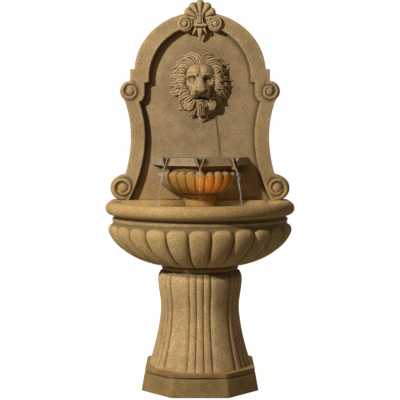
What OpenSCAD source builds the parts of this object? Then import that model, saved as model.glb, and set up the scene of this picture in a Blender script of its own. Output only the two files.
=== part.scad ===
// A floor fountain in cast stone: a fluted pedestal, a half-round basin with a rolled rim, and an
// arched back panel whose lion mask spouts into a small ribbed bowl. A pump stands in a well behind
// the basin's pool, and a lamp under the bowl lights it from below.
// Sizes are millimetres. +Z is up and the front faces -Y. The origin is on the floor, under the
// middle of the overall depth, and the flat back lies in the plane y = back_y.

/* [Overall] */
// Depth from the wall to the front of the basin's rim
overall_d = 410; // [380:1:460]
// Thickness of the cast walls
wall_t = 12; // [10:1:14]
// Gap round pieces that sit loosely in a seat
seat_gap = 0.3; // [0.2:0.1:0.5]

/* [Pedestal] */
// Width of the octagonal plinth at the floor
plinth_w = 378; // [360:1:400]
// Width of a flat on the plinth's front, back and sides, at the floor
plinth_flat_w = 180; // [160:1:190]
// Height of the plinth
plinth_h = 74; // [60:1:90]
// How far the plinth's sides lean in, from the floor to its top slab
plinth_lean = 12; // [8:1:16]
// Height of the fluted column
column_h = 310; // [280:1:360]
// Radius of the column where it meets the plinth
column_foot_r = 167; // [160:1:170]
// Radius of the column at its waist
column_waist_r = 128.5; // [124:0.5:134]
// Radius of the column's shoulder
column_shoulder_r = 137.5; // [135:0.5:142]
// Depth of the grooves between the reeds
reed_depth = 5; // [3:0.5:6]
// Height of the neck ring under the basin
neck_h = 18; // [14:1:24]
// Radius of the neck ring
neck_r = 126; // [122:1:130]
// Height of the spigot that centres the basin
spigot_h = 12; // [8:1:14]
// Radius of the spigot
spigot_r = 92; // [86:1:96]

/* [Basin] */
// Width of the basin over its rim
basin_w = 628; // [600:2:660]
// Height of the basin, from the neck ring to the rim
basin_h = 201; // [190:1:220]
// Radius of the rolled rim
rim_r = 21.5; // [19:0.5:23]
// Radius of the basin's underside where it meets the neck ring
basin_foot_r = 122; // [116:1:128]
// How far the lobes stand out of the belly
lobe_bulge = 9; // [5:0.5:11]
// Number of lobes round the front
lobe_count = 13; // [9:2:17]
// Depth of the deck that carries the back panel, from the wall
deck_d = 104; // [102:1:120]
// Height of the pool's floor over the basin's foot
pool_floor_h = 28; // [26:1:40]
// Width of the pump's well
well_w = 200; // [190:1:240]
// Height of the well's floor over the basin's foot
well_floor_h = 88; // [80:1:92]

/* [Back panel] */
// Depth of the frame round the panel, from the wall
frame_d = 100; // [96:1:101]
// Depth of the recessed panel, from the wall
panel_d = 70; // [66:1:80]
// Width of the frame's moulding
frame_w = 47; // [40:1:52]
// Height of the panel from the deck to the top of its arch
panel_h = 627; // [600:1:660]
// Half width of the arch at its springing
arch_w = 219; // [212:1:224]
// Half width of the shoulder blocks
block_w = 233; // [229:1:238]
// Half width of the panel at its waist
waist_w = 231.5; // [226:0.5:236]
// Radius of the upper scrolls
scroll_r = 34; // [30:1:38]
// Radius of the lower volutes
volute_r = 42; // [38:1:44]
// How far the spirals stand out of the frame
spiral_h = 7; // [4:1:10]

/* [Lion mask] */
// Half width of the mane
mane_w = 100; // [90:1:108]
// Half height of the mane
mane_h = 116; // [106:1:122]
// How far the muzzle stands out of the panel
muzzle_out = 96; // [86:1:106]
// Height of the mask's centre over the deck
mask_up = 382; // [375:1:390]

/* [Upper bowl] */
// Radius of the bowl's octagonal rim, to its corners
bowl_r = 162; // [150:1:170]
// Height of the bowl with its foot
bowl_h = 145; // [138:1:155]
// Height of the rim's band
bowl_band_h = 26; // [22:1:30]
// Height of the foot
bowl_foot_h = 24; // [20:1:28]
// Radius of the foot
bowl_foot_r = 59; // [54:1:62]
// Number of ribs on the bowl's front
rib_count = 9; // [7:2:11]
// How far the ribs stand out
rib_bulge = 4; // [2:0.5:6]
// Width of the pouring notches at the rim
notch_w = 24; // [18:1:28]

/* [Pump and pipe] */
// Radius of the pump's chamber
chamber_r = 25; // [23:1:26]
// Radius of the impeller
impeller_r = 18; // [14:0.5:19]
// Outer radius of the riser hose
hose_r = 10; // [9.5:0.5:11]
// Bore radius of the riser hose
hose_bore_r = 8.1; // [7.9:0.1:8.3]
// Bore radius of the cord's grommet
grommet_bore_r = 4; // [3:0.5:5]

/* [Lamp] */
// Radius of the lamp's housing
lamp_r = 21; // [18:1:23]
// Height of the lamp's housing
lamp_h = 34; // [28:1:36]
// Sideways place of the lamp
lamp_x = 20; // [0:1:30]

/* [Rear hatch] */
// Width of the hatch's opening
hatch_w = 150; // [120:1:160]
// Height of the hatch's opening
hatch_h = 100; // [80:1:110]

/* [Hidden] */
$fn = 64;
// A cut goes this far past the face that it opens
past = 1;

back_y = overall_d / 2;
floor_to_foot = plinth_h + column_h + neck_h;
deck_z = floor_to_foot + basin_h;
rim_half_w = basin_w / 2 - rim_r;
rim_side_d = 130;
rim_side_y = back_y - rim_side_d;
rim_front = overall_d - rim_side_d - rim_r;
pedestal_y = back_y - plinth_w / 2;
mask_z = deck_z + mask_up;
mouth_z = mask_z - 39;
panel_y = back_y - panel_d;
frame_y = back_y - frame_d;

stone = "#b69668";
stone_dark = "#a5875c";

// Shared shapes

// A closed skin over equal rings of points, given from the lowest ring to the highest and each
// anticlockwise from above, with a fan over each end
module skin(rings) {
    n = len(rings[0]);
    m = len(rings);
    middle = function (ring) [for (k = [0:2]) [for (p = ring) p[k]] * [for (p = ring) 1 / n]];
    points = concat([for (ring = rings, p = ring) p], [middle(rings[0]), middle(rings[m - 1])]);
    sides = [
        for (j = [0:m - 2], i = [0:n - 1])
        let (a = j * n + i, b = j * n + (i + 1) % n)
        each [[a, a + n, b + n], [a, b + n, b]]
    ];
    ends = [
        for (i = [0:n - 1])
        let (k = (i + 1) % n, top = (m - 1) * n)
        each [[m * n, i, k], [m * n + 1, top + k, top + i]]
    ];
    polyhedron(points, concat(sides, ends), convexity = 10);
}

// Stands a drawing of x and height upright, with its face at distance d from the wall and its
// thickness t behind that face
module upright(d, t) {
    translate([0, back_y - d, 0])
        rotate([90, 0, 0])
            translate([0, 0, -t])
                linear_extrude(t) children();
}

// A cylinder along the depth, from distance d0 to distance d1 off the wall
module rod_out(x, z, r, d0, d1) {
    translate([x, back_y - d0, z]) rotate([90, 0, 0]) cylinder(r = r, h = d1 - d0);
}

// A cylinder along the width
module rod_across(x0, x1, y, z, r) {
    translate([x0, y, z]) rotate([0, 90, 0]) cylinder(r = r, h = x1 - x0);
}

// A box given by its corners
module block(low, high) {
    translate(low) cube(high - low);
}

function arc(x, z, r, from, to, n) = [
    for (i = [0:n])
    let (a = from + (to - from) * i / n)
    [x + r * cos(a), z + r * sin(a)]
];
function mirrored(points) = [for (i = [len(points) - 1:-1:0]) [-points[i].x, points[i].y]];
function blend(a, b, u) = a * (1 - u) + b * u;
// How far a domed cover reaches at height share v, with 1 at v = 0 and 0 at v = 1
function dome(v, p) = pow(max(0, 1 - pow(min(1, abs(v)), p)), 1 / p);

// Pedestal

plinth_band_h = 10;
plinth_slab_h = 12;
plinth_block_h = plinth_h - plinth_band_h - plinth_slab_h;
plinth_set_back = 6;
column_top_z = plinth_h + column_h;
waist_z = plinth_h + 0.6 * column_h;
shoulder_z = plinth_h + 0.9 * column_h;
column_top_r = neck_r - 6;
reed_groups = 6;
reed_pitch = 10;
reed_samples = 4;
panel_samples = 6;
group_turn = 360 / reed_groups;
panel_turn = group_turn - 3 * reed_pitch;

function octagon(inset) =
    let (
        w = plinth_w / 2 - inset,
        f = plinth_flat_w / 2 - inset * tan(22.5)
    )
    [[f, -w], [w, -f], [w, f], [f, w], [-f, w], [-w, f], [-w, -f], [-f, -w]];

function plinth_ring(inset, z) = [for (p = octagon(inset)) [p.x, p.y + pedestal_y, z]];

function column_r(z) =
    z < waist_z ? column_waist_r + (column_foot_r - column_waist_r)
        * pow((waist_z - z) / (waist_z - plinth_h), 1.6)
    : z < shoulder_z ? blend(column_waist_r, column_shoulder_r,
        (1 - cos(180 * (z - waist_z) / (shoulder_z - waist_z))) / 2)
    : blend(column_top_r, column_shoulder_r,
        dome((z - shoulder_z) / (column_top_z - shoulder_z), 2));

// Angles across one reed group and one plain panel, each with the groove depth there
function reed_marks() = concat(
    [for (k = [0:2], i = [0:reed_samples - 1])
        let (s = 2 * i / reed_samples - 1)
        [(k + i / reed_samples - 1.5) * reed_pitch, 1 - sqrt(1 - s * s)]],
    [for (i = [0:panel_samples - 1])
        let (s = 2 * i / panel_samples - 1)
        [1.5 * reed_pitch + panel_turn * i / panel_samples, pow(s, 6)]]
);
column_marks = [for (g = [0:reed_groups - 1], m = reed_marks()) [g * group_turn + m[0], m[1]]];

function column_ring(z) = [
    for (m = column_marks)
    let (r = column_r(z) - reed_depth * m[1])
    [r * sin(m[0]), pedestal_y - r * cos(m[0]), z]
];

column_levels = [
    for (s = [0, 0.08, 0.17, 0.27, 0.38, 0.5, 0.62, 0.74, 0.84, 0.91, 0.95, 0.98, 1])
    plinth_h + s * column_h
];

plinth_hollow_r = plinth_w / 2 - plinth_lean - plinth_set_back - 2 * wall_t;

// Half outline of the hollow: radius and height, from the open foot up
function hollow_outline() = concat(
    [[0, -past], [plinth_hollow_r, -past], [plinth_hollow_r, plinth_block_h - wall_t]],
    [for (z = [plinth_h:20:shoulder_z]) [column_r(z) - wall_t - reed_depth, z]],
    [[spigot_r - wall_t, column_top_z], [spigot_r - wall_t, floor_to_foot + spigot_h + past],
    [0, floor_to_foot + spigot_h + past]]
);

cord_notch_w = 30;
cord_notch_h = 24;

module neck_ring() {
    bead_r = neck_h * 0.38;
    translate([0, pedestal_y, column_top_z]) {
        translate([0, 0, -past]) cylinder(r = neck_r - bead_r, h = neck_h + past);
        translate([0, 0, neck_h / 2])
            rotate_extrude() translate([neck_r - bead_r, 0]) circle(bead_r);
        translate([0, 0, neck_h]) cylinder(r = spigot_r, h = spigot_h);
    }
}

module pedestal() {
    color(stone)
        difference() {
            union() {
                skin([
                    plinth_ring(0, 0),
                    plinth_ring(plinth_lean * 0.8, plinth_block_h),
                    plinth_ring(plinth_lean + plinth_set_back, plinth_block_h),
                    plinth_ring(plinth_lean + plinth_set_back, plinth_block_h + plinth_band_h),
                    plinth_ring(plinth_lean, plinth_block_h + plinth_band_h),
                    plinth_ring(plinth_lean, plinth_h)
                ]);
                skin([for (z = column_levels) column_ring(z)]);
                neck_ring();
            }
            translate([0, pedestal_y, 0]) rotate_extrude() polygon(hollow_outline());
            block([-cord_notch_w / 2, pedestal_y, -past],
                [cord_notch_w / 2, back_y + past, cord_notch_h]);
        }
}

// Basin

belly_top = 0.56 * basin_h;
lobe_top = 0.7 * basin_h;
lobe_arch = 26;
lobe_samples = 6;
lobe_pitch = 2 * 92 / lobe_count;
groove_in = 7;
pool_wall = 24.5;
pool_back_y = back_y - deck_d;
pool_z = floor_to_foot + pool_floor_h;
pool_foot_r = 108;
saddle_r = bowl_foot_r - 1;
well_z = floor_to_foot + well_floor_h;
well_back_wall = 14;
well_front_y = pool_back_y + 18;
slot_w = 28;
slot_h = 36;
slot_x = saddle_r + slot_w / 2 + 6;
dowel_r = 6;
dowel_x = 150;
dowel_d = 40;
dowel_half = 24;
core_low = floor_to_foot + 76;
core_top = deck_z - dowel_half - 9;
core_half_w = rim_half_w - 70;

// A half-round outline at angle t from the front, with straight sides and a flat back
function half_round(t, a, b, c) =
    abs(t) <= 90 ? [a * sin(t), rim_side_y - b * cos(t)]
    : [a * sign(t) * pow(abs(sin(t)), 0.2), rim_side_y + c * pow(abs(cos(t)), 0.2)];

function round_foot(t, r) = [r * sin(t), pedestal_y - r * cos(t)];

function belly_share(h) = h >= belly_top ? 1 : dome((belly_top - h) / belly_top, 1.7);

// How full the lobe is at angle t and height h over the foot, from 0 in a valley to 1 on a crest
function lobe(t, h) =
    let (
        n = t / lobe_pitch,
        s = 2 * (n - round(n)),
        w = (lobe_top - h) / lobe_arch,
        fade = w < 1 ? pow(1 - w, 2) : 0
    )
    abs(t) > 92 || w < 0 ? 0 : sqrt(max(0, 1 - s * s - fade));

rim_angles = concat(
    [for (i = [0:lobe_count * lobe_samples])
        (i / lobe_samples - lobe_count / 2) * lobe_pitch],
    [for (t = [100, 112, 124, 132, 138, 144, 152, 164, 180, 196, 208, 216, 222, 228, 236, 248])
        t <= 180 ? t : t - 360]
);

function rim_point(t, out, h) =
    let (
        u = belly_share(h),
        full = half_round(t, rim_half_w + out, rim_front + out, back_y - rim_side_y),
        turn = [sin(t), -cos(t)],
        swell = lobe_bulge * lobe(t, h),
        p = blend(round_foot(t, basin_foot_r), full, u) + turn * swell * (0.35 + 0.65 * u),
        sink = swell * 0.5 * sqrt(max(0, 1 - u * u))
    )
    [p.x, min(p.y, back_y), floor_to_foot + max(h - sink, h * 0.4)];

function rim_ring(out, h) = [for (t = rim_angles) rim_point(t, out, h)];

belly_levels = [0, 0.02, 0.06, 0.12, 0.2, 0.3, 0.42, 0.54, 0.62, 0.66, 0.68, 0.7, 0.72];
roll_steps = [-50, -25, 0, 25, 50, 70, 90];
roll_h = basin_h - rim_r;

function pool_ring(u, z) = [
    for (t = [-174:12:174])
    let (
        full = half_round(t, rim_half_w - pool_wall, rim_front - pool_wall,
            pool_back_y - rim_side_y),
        p = blend(round_foot(t, pool_foot_r), full, u)
    )
    [p.x, min(p.y, pool_back_y), z]
];

module pool() {
    shares = [0, 0.1, 0.3, 0.6, 1];
    shoulder = floor_to_foot + belly_top - pool_z;
    skin(concat(
        [for (v = shares) pool_ring(dome(1 - v, 1.7), pool_z + v * shoulder)],
        [pool_ring(1, deck_z + past)]
    ));
}

module basin() {
    color(stone)
        difference() {
            union() {
                difference() {
                    skin(concat(
                        [for (s = belly_levels) rim_ring(0, s * basin_h)],
                        [rim_ring(-groove_in, 0.745 * basin_h),
                            rim_ring(-groove_in, roll_h - rim_r * 0.95)],
                        [for (a = roll_steps) rim_ring(rim_r * cos(a), roll_h + rim_r * sin(a))]
                    ));
                    pool();
                }
                translate([0, panel_y, pool_z - past])
                    cylinder(r = saddle_r, h = deck_z - pool_z + past);
            }
            block([-well_w / 2, well_front_y, well_z],
                [well_w / 2, back_y - well_back_wall, deck_z + past]);
            for (side = [-1, 1]) {
                block([side * slot_x - slot_w / 2, pool_back_y - past, well_z],
                    [side * slot_x + slot_w / 2, well_front_y + past, well_z + slot_h]);
                translate([side * dowel_x, back_y - dowel_d, deck_z - dowel_half])
                    cylinder(r = dowel_r + seat_gap, h = dowel_half + past);
                mirror([side < 0 ? 1 : 0, 0, 0])
                    block([well_w / 2 + wall_t, pool_back_y + wall_t, core_low],
                        [core_half_w, back_y + past, core_top]);
            }
            translate([0, pedestal_y, floor_to_foot - past])
                cylinder(r = spigot_r + 2 * seat_gap, h = spigot_h + seat_gap + past);
            for (side = [-1, 1])
                lamp_screw_place(side) cylinder(r = bracket_screw_r + 0.1, h = 14);
        }
}

module locating_dowels() {
    color("tan")
        for (side = [-1, 1])
            translate([side * dowel_x, back_y - dowel_d, deck_z - dowel_half + seat_gap])
                cylinder(r = dowel_r, h = 2 * (dowel_half - seat_gap));
}

// Back panel

arch_z = deck_z + panel_h - 199;
block_top_z = arch_z + 11;
block_foot_z = block_top_z - 40;
scroll_z = block_foot_z - scroll_r;
scroll_x = block_w;
volute_x = 259;
volute_z = deck_z + volute_r;
bend_z = deck_z + 217;
lower_bend_r = 431;
upper_bend_r = 340;
arch_steps = 30;

function waist_x(z) = waist_w + pow(z - bend_z, 2) / 2 / (z < bend_z ? lower_bend_r : upper_bend_r);

// The right half of the panel's outer edge, from the foot of its volute up to the arch's top
function outer_edge() = concat(
    arc(volute_x, volute_z, volute_r, -90, 85, 14),
    [for (z = [volute_z + volute_r + 6:18:scroll_z - scroll_r * 0.75]) [waist_x(z), z]],
    arc(scroll_x, scroll_z, scroll_r, -38, 88, 12),
    [[block_w, block_foot_z], [block_w, block_top_z]],
    [for (i = [0:arch_steps]) let (a = 3 + 87 * i / arch_steps)
        [arch_w * cos(a), arch_z + (panel_h + deck_z - arch_z) * sin(a)]]
);

// The right half of the recess that the frame surrounds
function inner_edge() =
    let (notch_z = scroll_z - scroll_r, step_x = block_w - frame_w - 1)
    concat(
        [for (z = [deck_z - past:20:notch_z]) [waist_x(z) - frame_w, z]],
        [for (i = [0:5]) let (a = 90 * i / 5)
            [step_x + (waist_x(notch_z) - frame_w - step_x) * (1 - sin(a)),
                notch_z + scroll_r * (1 - cos(a))]],
        [[step_x, block_foot_z - 6]],
        [for (i = [0:arch_steps]) let (a = -3 + 93 * i / arch_steps)
            [(arch_w - frame_w - 1) * cos(a),
                arch_z - 22 + (panel_h + deck_z - frame_w + 3 - arch_z + 22) * sin(a)]]
    );

module both_halves(half) {
    polygon(concat(half, mirrored(half)));
}

// A spiral ridge that winds in towards its eye, for a scroll of radius r
module spiral(r, turns, start) {
    steps = 30;
    width = r * 0.2;
    path = function (i, side)
        let (
            s = i / steps,
            a = start + 360 * turns * s,
            q = blend(r * 0.86, r * 0.4, s) + side * width * (1 - 0.45 * s) / 2
        )
        [q * cos(a), q * sin(a)];
    polygon(concat(
        [for (i = [0:steps]) path(i, 1)],
        [for (i = [steps:-1:0]) path(i, -1)]
    ));
}

// A scroll's raised spiral and its domed eye, on the frame's face
module scroll_face(x, z, r, turns, start, d = frame_d) {
    translate([x, 0, z])
        upright(d + spiral_h, spiral_h) spiral(r, turns, start);
    intersection() {
        translate([x, back_y - d + r * 0.22, z]) sphere(r * 0.44);
        rod_out(x, z, r * 0.44, d - past, d + r);
    }
}

cavity_d = panel_d - wall_t;
cover_inset = 8;
cover_t = 4;
cover_d = 9;
boss_r = 9;
screw_r = 2;
screw_places = [for (p = [[165, 88], [150, 250], [175, 385], [100, 500]], side = [-1, 1])
    [side * p.x, deck_z + p.y]];
mask_bolt_x = 48;
mask_bolt_r = 2.5;
bowl_bolt_x = 70;
bowl_bolt_z = deck_z + 100;
bowl_bolt_r = 3;
spout_r = 8;

module back_panel() {
    color(stone)
        difference() {
            union() {
                difference() {
                    upright(frame_d, frame_d) both_halves(outer_edge());
                    upright(frame_d + past, frame_d - panel_d + past) both_halves(inner_edge());
                    upright(cover_d, cover_d + past)
                        offset(delta = -cover_inset) both_halves(outer_edge());
                    upright(cavity_d, cavity_d - cover_d + past)
                        offset(delta = -wall_t - 2) both_halves(outer_edge());
                }
                for (p = screw_places) rod_out(p.x, p.y, boss_r, cover_d, cavity_d + past);
                for (side = [-1, 1]) {
                    translate([side * dowel_x, back_y - dowel_d, deck_z])
                        cylinder(r = dowel_r + 8, h = dowel_half + 8);
                    scroll_face(side * scroll_x, scroll_z, scroll_r, side * -1.1, 90 - side * 20);
                    scroll_face(side * volute_x, volute_z, volute_r, side * 1.1, -90 + side * 30);
                }
            }
            for (p = screw_places) rod_out(p.x, p.y, screw_r + 0.1, cover_d - past, cavity_d - 6);
            for (side = [-1, 1]) {
                translate([side * dowel_x, back_y - dowel_d, deck_z - past])
                    cylinder(r = dowel_r + seat_gap, h = dowel_half + past);
                rod_out(side * mask_bolt_x, mask_z, mask_bolt_r + 0.2, cavity_d - past,
                    panel_d + past);
                rod_out(side * bowl_bolt_x, bowl_bolt_z, bowl_bolt_r + 0.2, cavity_d - past,
                    panel_d + past);
            }
            rod_out(0, mouth_z, spout_r + 0.2, cavity_d - past, panel_d + past);
            block([-well_w / 2, back_y - cavity_d, deck_z - past],
                [well_w / 2, back_y - cover_d, deck_z + wall_t + 2 * past]);
        }
}

// Rear cover and hatch

hatch_z = deck_z + 92;
hatch_lap = 10;
hatch_t = 3;
hatch_screw_x = hatch_w / 2 + hatch_lap / 2 + 3;
hatch_screw_r = 2;
hatch_face_d = cover_d - cover_t;
grommet_x = -118;
grommet_z = deck_z + 40;
grommet_r = grommet_bore_r + 4;

module hatch_outline(grow) {
    translate([0, hatch_z]) square([hatch_w + 2 * grow, hatch_h + 2 * grow], center = true);
}

module rear_cover() {
    color("#8a7a60")
        difference() {
            upright(cover_d, cover_t)
                offset(delta = -cover_inset - seat_gap) both_halves(outer_edge());
            upright(cover_d + past, cover_t + 2 * past) hatch_outline(0);
            for (p = screw_places) {
                rod_out(p.x, p.y, screw_r + 0.3, hatch_face_d - past, cover_d + past);
                rod_out(p.x, p.y, 2 * screw_r + 0.3, hatch_face_d - past, hatch_face_d + 2);
            }
            for (side = [-1, 1])
                rod_out(side * hatch_screw_x, hatch_z, hatch_screw_r + 0.5, hatch_face_d - past,
                    cover_d + past);
            rod_out(grommet_x, grommet_z, grommet_r, hatch_face_d - past, cover_d + past);
        }
}

module cover_screws() {
    color("silver")
        for (p = screw_places) {
            rod_out(p.x, p.y, screw_r, hatch_face_d + 1, cover_d + 24);
            rod_out(p.x, p.y, 2 * screw_r, hatch_face_d + 0.2, hatch_face_d + 2);
        }
}

module access_hatch() {
    pull_r = 14;
    color("#8a7a60")
        difference() {
            union() {
                upright(hatch_face_d - seat_gap, hatch_t)
                    hatch_outline(hatch_lap + 4);
                upright(cover_d, cover_t + 2 * seat_gap) hatch_outline(-1);
            }
            upright(cover_d + past, cover_t + past) hatch_outline(-6);
            for (side = [-1, 1])
                rod_out(side * hatch_screw_x, hatch_z, hatch_screw_r + 0.1, -past, cover_d + past);
            rod_out(0, hatch_z, pull_r, -past, hatch_face_d - seat_gap - hatch_t / 2);
        }
}

module hatch_screws() {
    color("silver")
        for (side = [-1, 1]) {
            rod_out(side * hatch_screw_x, hatch_z, hatch_screw_r, 1, cover_d + 8);
            rod_out(side * hatch_screw_x, hatch_z, 3 * hatch_screw_r, 0.4,
                hatch_face_d - seat_gap - hatch_t);
        }
}

module hatch_nuts() {
    nut_t = 5;
    color("silver")
        for (side = [-1, 1])
            difference() {
                translate([side * hatch_screw_x, back_y - cover_d, hatch_z])
                    rotate([90, 0, 0]) cylinder(r = 2.4 * hatch_screw_r, h = nut_t, $fn = 6);
                rod_out(side * hatch_screw_x, hatch_z, hatch_screw_r + 0.1, cover_d - past,
                    cover_d + nut_t + past);
            }
}

module cord_grommet() {
    color("dimgray")
        difference() {
            union() {
                rod_out(grommet_x, grommet_z, grommet_r, hatch_face_d, cover_d);
                rod_out(grommet_x, grommet_z, grommet_r + 3, hatch_face_d - 3, hatch_face_d);
                rod_out(grommet_x, grommet_z, grommet_r + 3, cover_d, cover_d + 3);
            }
            rod_out(grommet_x, grommet_z, grommet_bore_r, 0, cover_d + 3 + past);
        }
}

// Crest over the arch

crest_z = deck_z + panel_h - 22;
petals = [
    [0, 62], [30, 60], [-30, 60], [61, 58], [-61, 58], [92, 46], [-92, 46]
];
petal_back_d = frame_d - 30;
crest_scroll_x = 50;
crest_scroll_z = crest_z - 17;
crest_scroll_r = 25;

// One lobe of the shell, from the hub out along an angle from upright
module petal(angle, reach) {
    tip_r = 13;
    z0 = 12;
    hull() {
        translate([z0 * sin(angle), frame_y - 9, crest_z + z0 * cos(angle)]) sphere(7, $fn = 14);
        translate([(reach - tip_r) * sin(angle), frame_y - 5, crest_z + (reach - tip_r) * cos(angle)])
            sphere(tip_r, $fn = 20);
        translate([(reach - tip_r) * sin(angle), back_y - petal_back_d,
            crest_z + (reach - tip_r) * cos(angle)])
            rotate([90, 0, 0]) cylinder(r = tip_r - 2, h = 10, $fn = 20);
    }
}

// A pointed leaf that hangs from the shell's band
module pendant(x, z, length, lean) {
    w = length * 0.2;
    translate([x, frame_y, z]) rotate([0, lean, 0])
        hull() {
            translate([0, -3, 0]) sphere(w, $fn = 16);
            translate([0, -1, -length * 0.45]) sphere(w * 0.8, $fn = 16);
            translate([0, -1, -length]) sphere(1, $fn = 8);
            translate([-w, frame_d - panel_d - 5, -length * 0.6]) cube([2 * w, 5, length * 0.6]);
        }
}

// The frame and the recessed panel behind it, which the crest is cut to fit
module panel_front() {
    difference() {
        upright(frame_d, frame_d) both_halves(outer_edge());
        upright(frame_d + past, frame_d - panel_d + past) both_halves(inner_edge());
    }
}

module crest() {
    color(stone_dark)
        difference() {
            crest_shapes();
            panel_front();
        }
}

module crest_shapes() {
        for (p = petals) petal(p[0], p[1]);
        translate([-20, frame_y - 14, crest_z - 27]) cube([40, 34, 9]);
        hull() {
            translate([-10, frame_y - 15, crest_z - 18]) cube([20, 40, 5]);
            translate([-14, frame_y - 17, crest_z + 6]) cube([28, 42, 6]);
        }
        pendant(0, crest_z - 28, 46, 0);
        for (side = [-1, 1]) {
            pendant(side * 11, crest_z - 28, 30, side * -28);
            rod_out(side * crest_scroll_x, crest_scroll_z, crest_scroll_r, panel_d,
                frame_d + 8);
            scroll_face(side * crest_scroll_x, crest_scroll_z, crest_scroll_r, side * 1.5,
                side * 90, frame_d + 8);
        }
}

// Lion mask, a relief over a polar grid

mask_turns = 96;
mask_rings = 27;
mane_locks = 22;
face_w = 50;
face_h = 60;
mouth_depth = 30;

function bump(x, z, cx, cz, sx, sz) = exp(-pow((x - cx) / sx, 2) - pow((z - cz) / sz, 2));

// Distance from the mask's centre to the mane's edge, pointed below and round above
function mane_reach(a) =
    let (
        n = cos(a) > 0 ? 2 : 1.35,
        s = pow(abs(sin(a)) / mane_w, n) + pow(abs(cos(a)) / mane_h, n)
    )
    pow(s, -1 / n) * (1 - 0.045 * (1 + cos(mane_locks * a)));

// Height of the face over the panel
function face_out(x, z) =
    let (k = muzzle_out / 96)
    k * (52 * bump(x, z, 0, 18, 62, 66)
        + 34 * exp(-pow(x / 28, 4) - pow((z + 24) / 24, 4))
        + 14 * bump(x, z, 0, 8, 13, 34)
        + 6 * bump(x, z, 0, -14, 13, 8)
        + 7 * (bump(x, z, 25, 38, 15, 8) + bump(x, z, -25, 38, 15, 8))
        - 13 * (bump(x, z, 30, 23, 12, 8) + bump(x, z, -30, 23, 12, 8))
        + 6 * (bump(x, z, 30, 22, 6, 4) + bump(x, z, -30, 22, 6, 4))
        + 7 * (bump(x, z, 14, -27, 11, 11) + bump(x, z, -14, -27, 11, 11))
        - mouth_depth * exp(-pow(x / 19, 4) - pow((z + 42) / 5, 2))
        + 10 * bump(x, z, 0, -55, 15, 9));

// Height of the mane, with locks that sweep round as they run out
function mane_out(a, s) =
    let (
        wave = cos(mane_locks * a + 150 * sin(160 * s)),
        tuft = cos(1.5 * mane_locks * a - 200 * s)
    )
    12 + 34 * sqrt(max(0, 1 - s * s)) + (4.5 * wave + 2 * tuft) * (0.4 + 0.6 * s);

function mask_height(a, s) =
    let (
        r = s * mane_reach(a),
        x = r * sin(a),
        z = r * cos(a),
        e = sqrt(pow(x / face_w, 2) + pow((z - 6) / face_h, 2)),
        u = min(1, max(0, (e - 0.82) / 0.36)),
        w = u * u * (3 - 2 * u)
    )
    blend(face_out(x, z), mane_out(a, s), w);

function mask_ring(s, out) = [
    for (i = [mask_turns - 1:-1:0])
    let (
        a = 360 * i / mask_turns,
        r = s * mane_reach(a)
    )
    [r * sin(a), r * cos(a), out < 0 ? mask_height(a, s) : out]
];

module lion_mask() {
    shares = [for (j = [mask_rings:-1:1]) pow(j / mask_rings, 0.85)];
    color(stone_dark)
        difference() {
            translate([0, panel_y, mask_z])
                rotate([90, 0, 0])
                    skin(concat(
                        [mask_ring(0.97, 0), mask_ring(1, 4)],
                        [for (s = shares) mask_ring(s, -1)]
                    ));
            rod_out(0, mouth_z, spout_r + 0.2, panel_d - past, panel_d + muzzle_out);
            for (side = [-1, 1])
                rod_out(side * mask_bolt_x, mask_z, mask_bolt_r + 0.1, panel_d - past,
                    panel_d + 20);
        }
}

module mask_bolts() {
    color("silver")
        for (side = [-1, 1]) {
            rod_out(side * mask_bolt_x, mask_z, mask_bolt_r, cavity_d - 1, panel_d + 18);
            rod_out(side * mask_bolt_x, mask_z, 2 * mask_bolt_r, cavity_d - 4, cavity_d);
        }
}

// Upper bowl

bowl_z = deck_z;
bowl_top_z = bowl_z + bowl_h;
band_z = bowl_top_z - bowl_band_h;
belly_r = bowl_r * cos(22.5) - 4;
belly_z = band_z - 17;
bowl_back_wall = 14;
bowl_wall = 12;
notch_depth = 32;
lip_out = 4;
lip_w = 4;
rib_turn = 112.5 / rib_count;
bowl_samples = 4;

bowl_angles = concat(
    [-90, -82, -74, -66],
    [for (i = [0:rib_count * bowl_samples])
        (i / bowl_samples - rib_count / 2) * rib_turn],
    [66, 74, 82, 90]
);

// Closes a half-round outline behind the panel's face, where the bowl is cut flat
function closed_behind(points, r) = concat(points, [[r, panel_y + 5], [-r, panel_y + 5]]);

// The polygon of the rim at radius r to its corners
function band_outline(r) =
    closed_behind([for (a = [-90:45:90]) [r * sin(a), panel_y - r * cos(a)]], r);

function rib(a, z) =
    let (
        n = a / rib_turn,
        s = 2 * (n - round(n)),
        w = (belly_z - z) / 14,
        fade = w < 1 ? pow(1 - max(0, w), 2) : 0
    )
    abs(a) > 56.3 ? 0 : sqrt(max(0, 1 - s * s - fade));

function bowl_belly_r(z) =
    z > belly_z ? blend(belly_r, belly_r - 6, sin(180 * (z - belly_z) / (band_z - belly_z)))
    : blend(bowl_foot_r - rib_bulge - 2, belly_r,
        dome((belly_z - z) / (belly_z - bowl_z - bowl_foot_h), 2.2));

function bowl_outline(z, in) = closed_behind([
    for (a = bowl_angles)
    let (r = bowl_belly_r(z) - in + (in > 0 ? 0 : rib_bulge * rib(a, z)))
    [r * sin(a), panel_y - r * cos(a)]
], bowl_belly_r(z) - in);

function bowl_ring(z, in) = [for (p = bowl_outline(z, in)) [p.x, p.y, z]];

module bowl_belly() {
    foot_top = bowl_z + bowl_foot_h;
    span = belly_z - foot_top;
    skin(concat(
        [for (s = [0, 0.06, 0.14, 0.26, 0.42, 0.6, 0.78, 0.9, 0.96, 1]) bowl_ring(foot_top + s * span, 0)],
        [for (s = [0.25, 0.5, 0.75, 1]) bowl_ring(blend(belly_z, band_z, s), 0)],
        [[for (p = bowl_outline(band_z, 0)) [p.x, p.y, band_z + 3]]]
    ));
}

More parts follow.
